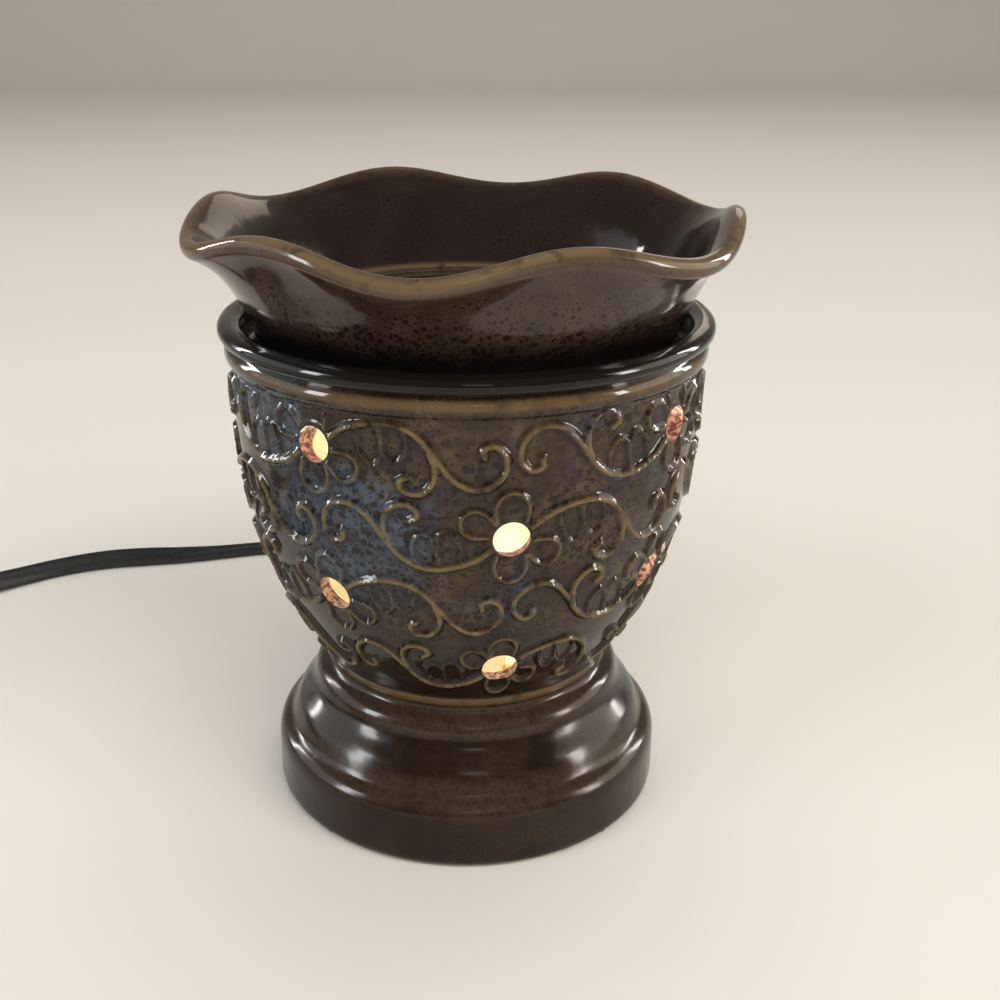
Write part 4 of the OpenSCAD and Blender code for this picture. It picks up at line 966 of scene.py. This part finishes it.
def give_fields(piece, fields):
    """Gives a piece's points the named values that its glaze reads."""
    for name, values in fields.items():
        field = piece.data.attributes.new(name, "FLOAT", "POINT")
        field.data.foreach_set("value", np.ravel(values).astype(np.float32))


def turned_wall():
    """The body before it is cut: its outline turned about the axis, with the relief lifted off the bowl."""
    outline = softened(np.vstack([foot_line, bowl_line, top_line, inside_line]))
    way = np.roll(outline, -1, 0) - np.roll(outline, 1, 0)
    normal = np.stack([way[:, 1], -way[:, 0]], 1) / np.linalg.norm(way, axis=1)[:, None]
    relief = np.zeros((2, len(outline), COLUMNS))
    lift = np.zeros((len(outline), COLUMNS))
    bowl = slice(len(foot_line), len(foot_line) + len(bowl_line))
    run = lengths(bowl_line)
    fade = np.clip(np.minimum(run, run[-1] - run) / FADE, 0, 1)[:, None]
    relief[:, bowl] = bowl_relief() * fade
    lift[bowl] = relief[0, bowl] - GROUND * fade
    turn = np.arange(COLUMNS) * 2 * np.pi / COLUMNS
    r = outline[:, :1] + normal[:, :1] * lift
    z = outline[:, 1:] + normal[:, 1:] * lift
    points = np.stack([r * np.cos(turn), r * np.sin(turn), z], -1).reshape(-1, 3)
    faces = ring_faces(len(outline), COLUMNS, loop=True)
    body = piece_of("lantern_body", points, faces, [GLAZE_BODY, CLAY, BURNT_CLAY])
    first_inside = len(outline) - len(inside_line)
    row_of = np.repeat(np.arange(len(outline)), COLUMNS)
    body.data.polygons.foreach_set("material_index", (row_of >= first_inside).astype(np.int32))
    give_fields(body, {"relief": relief[0] / STEM_HIGH, "pool": relief[1]})
    return body


def make_body():
    """The turned wall with its lugs, their bores, the lead's way out and the light holes."""
    body = turned_wall()
    carve(body, [block(LUG_FROM, LUG_TO, a) for a in LUG_ANGLES], "UNION", CLAY)
    way_out = turned([(BORE_R - WALL, EXIT_R), (LIP_R, EXIT_R)], 48, UP * EXIT_Z, (0, 1, 0))
    carve(body, lug_bores() + [way_out], "DIFFERENCE", CLAY)
    carve(body, light_holes(), "DIFFERENCE", BURNT_CLAY)
    crisp(body)
    carried(body, "base", "glaze_body", "body_shell")


def dish_wall(lobe, t):
    """The middle of the dish's wall at share t of the way up, with the directions out across it and up it."""
    rim = np.stack([RIM_R + LOBE_FLARE * lobe, RIM_Z - LOBE_RISE * lobe], -1)
    start = np.array([DISH_FLOOR_R, DISH_MID_Z]) + 0 * rim
    heel = start + DISH_HEEL
    under = rim - RIM_RUN - lobe[:, None] * LOBE_RUN
    place = start * (1 - t) ** 3 + 3 * heel * t * (1 - t) ** 2 + 3 * under * t * t * (1 - t) + rim * t**3
    way = (heel - start) * (1 - t) ** 2 + 2 * (under - heel) * t * (1 - t) + (rim - under) * t * t
    way = way / np.linalg.norm(way, axis=1)[:, None]
    return place, np.stack([way[:, 1], -way[:, 0]], 1), way


def dish_rows(lobe):
    """Rows of the dish's surface and how pale each is, and the number of the first row of its inside.

    They run from the middle of the base out to the rim, over it and back to the middle of the floor.
    """
    level = np.zeros((DISH_COLUMNS, 2))
    low_ease, high_ease = DISH_FOOT_EASE
    base = [(r, DISH_BASE_Z) for r in np.linspace(1, DISH_FLOOR_R, 12)]
    foot = [
        (DISH_FLOOR_R, LEDGE_Z + low_ease), (DISH_FLOOR_R + low_ease, LEDGE_Z),
        (DISH_FOOT_R - high_ease, LEDGE_Z), (DISH_FOOT_R, LEDGE_Z + high_ease),
        (DISH_FOOT_R + DISH_FOOT_DRAFT, DISH_BASE_Z),
    ]
    rows = [level + corner for corner in base + foot]
    pale = [0] * len(rows)
    for t in np.linspace(DISH_WALL_START, 1, 32):
        place, across, way = dish_wall(lobe, t)
        rows.append(place + DISH_HALF * across)
        pale.append(np.interp(t, *OUTSIDE_PALE))
    for a in np.linspace(0, np.pi, 12)[1:-1]:
        rows.append(place + DISH_HALF * (math.cos(a) * across + math.sin(a) * way))
        pale.append(FLANK_PALE + (1 - FLANK_PALE) * math.sin(a) ** 4)
    first_inside = len(rows)
    for t in np.linspace(1, 0, 36):
        place, across, way = dish_wall(lobe, t)
        rows.append(place - DISH_HALF * across)
        pale.append(np.interp(t, *INSIDE_PALE))
    floor_z = rows[-1][0, 1]
    to_ring = np.linspace(DISH_FLOOR_R, DISH_RING_R + DISH_RING_HALF, 4)[1:]
    from_ring = np.linspace(DISH_RING_R - DISH_RING_HALF, 1, 11)
    for r in (*to_ring, DISH_RING_R, *from_ring):
        rows.append(level + (r, floor_z))
        pale.append(RING_PALE if r == DISH_RING_R else 0)
    return np.array(rows), pale, first_inside


def make_dish():
    """The lobed dish, as one closed surface."""
    turn = np.arange(DISH_COLUMNS) * 2 * np.pi / DISH_COLUMNS
    rows, pale, first_inside = dish_rows(np.cos(LOBES * (turn - LOBE_TURN)))
    points = np.stack([rows[..., 0] * np.cos(turn), rows[..., 0] * np.sin(turn), rows[..., 1]], -1)
    faces = capped_faces(len(rows), DISH_COLUMNS)
    dish = piece_of("lobed_dish", points.reshape(-1, 3), faces, [GLAZE_DISH])
    outer = np.arange(len(rows)) < first_inside
    give_fields(dish, {"relief": np.repeat(pale, DISH_COLUMNS), "outer": np.repeat(outer, DISH_COLUMNS)})
    crisp(dish, 50)
    carried(dish, "dish", "glaze_dish", "wax_dish")


def ribbed(start, end, radii, ribs, last):
    """An outline along an axis that goes from one radius to another, with grooves up to its last share."""
    share = np.linspace(0, 1, 12 * ribs + 1)
    groove = RIB_DEPTH * (1 - np.cos(2 * np.pi * ribs * share)) * (share < last)
    radius = radii[0] + (radii[1] - radii[0]) * share - groove
    return np.stack([start + (end - start) * share, radius], 1)


def make_strain_relief():
    """A collar inside the wall, a flange outside it and a ribbed taper."""
    collar_y = RELIEF_INNER_Y + RELIEF_COLLAR_T
    ease = RELIEF_COLLAR_EASE
    rim = RELIEF_FLANGE_EASE
    bend = RELIEF_FLANGE_ROUND
    outline = np.vstack([
        [(RELIEF_INNER_Y, RELIEF_COLLAR_R - ease), (RELIEF_INNER_Y + ease, RELIEF_COLLAR_R)],
        [(collar_y, RELIEF_COLLAR_R), (collar_y, RELIEF_NECK_R), (RELIEF_Y, RELIEF_NECK_R)],
        [(RELIEF_Y, RELIEF_FLANGE_R - rim), (RELIEF_Y + rim, RELIEF_FLANGE_R)],
        arc((RELIEF_TAPER_Y - bend, RELIEF_FLANGE_R - bend), (bend, bend), 90, 0, 6),
        ribbed(RELIEF_TAPER_Y, RELIEF_END_Y, (RELIEF_R, RELIEF_END_R), RELIEF_RIBS, RELIEF_RIB_END),
    ])
    relief = piece_of("strain_relief_boot", *turned(outline, 40, UP * EXIT_Z, (0, 1, 0)), [CASE_BLACK])
    crisp(relief)
    carried(relief, "base", "cord_black", "strain_relief")
    return relief


def rounded_plan(w, l, corner):
    """A rectangle with round corners, counterclockwise."""
    x = w / 2 - corner
    y = l / 2 - corner
    corners = [((x, y), 0), ((-x, y), 90), ((-x, -y), 180), ((x, -y), 270)]
    return np.vstack([arc(at, (corner, corner), turn, turn + 90, 9) for at, turn in corners])


def rounded_block(at, size, corner, levels):
    """A solid of level rings, each given by its height and how far its outline is drawn in."""
    rings = []
    for z, inset in levels:
        plan = rounded_plan(size[0] - 2 * inset, size[1] - 2 * inset, corner - inset)
        rings.append(np.column_stack([plan + at, np.full(len(plan), z)]))
    return np.vstack(rings), capped_faces(len(rings), len(rings[0]))


def rounded_edge(z, radius, degrees):
    """Levels of a rounded edge: up from a foot at -90, or over to a top at 90."""
    turns = np.radians(np.linspace(min(degrees, 0), max(degrees, 0), 7))
    return [(z + radius * math.sin(a), radius - radius * math.cos(a)) for a in turns]


def switch_half(name, levels, node, contact_z):
    """One half of the switch's housing, hollowed for the wheel, the contacts and the screws."""
    half = piece_of(name, *rounded_block(SWITCH_AT, SWITCH_SIZE, SWITCH_CORNER, levels), [CASE_BLACK])
    middle = np.array([*SWITCH_AT, 0])
    rooms = [turned([(z, WHEEL_ROOM_R) for z in WHEEL_ROOM_Z], 64, middle, UP)]
    for side in (-1, 1):
        sink = [(-CUT_PAST, SWITCH_SINK[0]), (SWITCH_SINK[1], SWITCH_SINK[0])]
        rooms.append(turned(sink, 32, middle + (0, side * SWITCH_SCREW_Y, 0), UP))
        low = middle + (side * CONTACT_X - CONTACT_ROOM[0] / 2, -CONTACT_ROOM[1] / 2, contact_z)
        rooms.append(block(low, low + (*CONTACT_ROOM, SWITCH_SIZE[2] / 2 - SWITCH_WALL)))
    carve(half, rooms, "DIFFERENCE", CASE_BLACK)
    crisp(half)
    carried(half, "base", "switch_black", node)
    return half


def make_switch():
    """The switch's two housings, with a fine groove where they meet."""
    middle_z = SWITCH_SIZE[2] / 2
    foot_r, top_r = SWITCH_EDGES
    lower = rounded_edge(foot_r, foot_r, -90) + [(middle_z - SWITCH_SEAM, 0), (middle_z, SWITCH_SEAM)]
    upper = [(middle_z, SWITCH_SEAM), (middle_z + SWITCH_SEAM, 0)]
    upper += rounded_edge(SWITCH_SIZE[2] - top_r, top_r, 90)
    return [
        switch_half("switch_case_lower", lower, "switch_housing_lower", SWITCH_WALL),
        switch_half("switch_case_upper", upper, "switch_housing_upper", middle_z),
    ]


def plug_grips(middle_x, start_y):
    """Upright rods along both sides of the plug, for its finger grooves."""
    outline = [(PLUG_EDGE, PLUG_GRIP_R), (PLUG_SIZE[2] - PLUG_EDGE, PLUG_GRIP_R)]
    rods = []
    for side in (-1, 1):
        x = middle_x + side * (PLUG_SIZE[0] / 2 + PLUG_GRIP_OUT)
        for k in range(PLUG_GRIPS):
            place = np.array([x, start_y + PLUG_GRIP_AT + PLUG_GRIP_STEP * k, 0])
            rods.append(turned(outline, 24, place, UP))
    return rods


def make_plug():
    """A moulded plug: a rounded body with grip grooves on its sides, and a ribbed tail."""
    x, tail_y = PLUG_AT
    body_y = tail_y + PLUG_TAIL_L
    at = (x, body_y + PLUG_SIZE[1] / 2)
    levels = rounded_edge(PLUG_EDGE, PLUG_EDGE, -90) + rounded_edge(PLUG_SIZE[2] - PLUG_EDGE, PLUG_EDGE, 90)
    plug = piece_of("plug_moulding", *rounded_block(at, PLUG_SIZE, PLUG_CORNER, levels), [CASE_BLACK])
    tail = ribbed(tail_y, body_y + PLUG_TAIL_SUNK, PLUG_TAIL_R, PLUG_RIBS, PLUG_RIB_END)
    middle = np.array([x, 0, PLUG_SIZE[2] / 2])
    carve(plug, [turned(tail, 40, middle, (0, 1, 0))], "UNION", CASE_BLACK)
    carve(plug, plug_grips(x, body_y), "DIFFERENCE", CASE_BLACK)
    crisp(plug)
    carried(plug, "base", "plug_black", "plug_body")
    return plug


def make_tie():
    """A strap with rounded corners round the coil's turns."""
    size = (TIE_Y[1] - TIE_Y[0], TIE_Z[1] - TIE_Z[0])
    middle = np.array([sum(TIE_Y) / 2, sum(TIE_Z) / 2])
    inner = rounded_plan(*size, TIE_CORNER) + middle
    outer = rounded_plan(size[0] + 2 * TIE_T, size[1] + 2 * TIE_T, TIE_CORNER + TIE_T) + middle
    eased = outer + (inner - outer) * (TIE_EASE / TIE_T)
    near_side = [(0, inner), (0, eased), (TIE_EASE, outer)]
    far_side = [(TIE_W - TIE_EASE, outer), (TIE_W, eased), (TIE_W, inner)]
    rings = []
    for x, line in near_side + far_side:
        rings.append(np.column_stack([np.full(len(line), TIE_X - TIE_W / 2 + x), line]))
    faces = ring_faces(len(rings), len(inner), loop=True)
    tie = piece_of("coil_strap", np.vstack(rings), faces, [RUBBER])
    crisp(tie, 50)
    carried(tie, "base", "cord_black", "cord_tie")
    return tie


def dress(material, *nodes):
    """Gives carried-over CAD nodes a better material."""
    for node in nodes:
        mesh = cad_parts[node].data
        mesh.materials.clear()
        mesh.materials.append(material)


make_body()
make_dish()
relief_boot = make_strain_relief()
switch_cases = make_switch()
plug = make_plug()
strap = make_tie()

dress(RUBBER, "foot_pads")
dress(STEEL, "base_plate", "socket_bracket", "filament_wires")
dress(ZINC, "base_plate_screws", "bracket_rivets", "socket_screws", "switch_axle", "switch_screws",
      "bulb_cap", "bulb_tip_contact")
dress(BRASS, "socket_screw_shell", "socket_center_contact", "socket_terminals", "terminal_screws",
      "switch_contacts", "plug_blades")
dress(NYLON, "screw_plugs", "bulb_stem")
dress(PORCELAIN, "socket_body")
dress(BLACK_GLASS, "bulb_cap_insulator")
dress(CORD_BLACK, "lead_live", "lead_neutral")
dress(CASE_BLACK, "switch_wheel")
dress(BULB_LIT, "bulb_glass")
dress(TUNGSTEN, "filament")
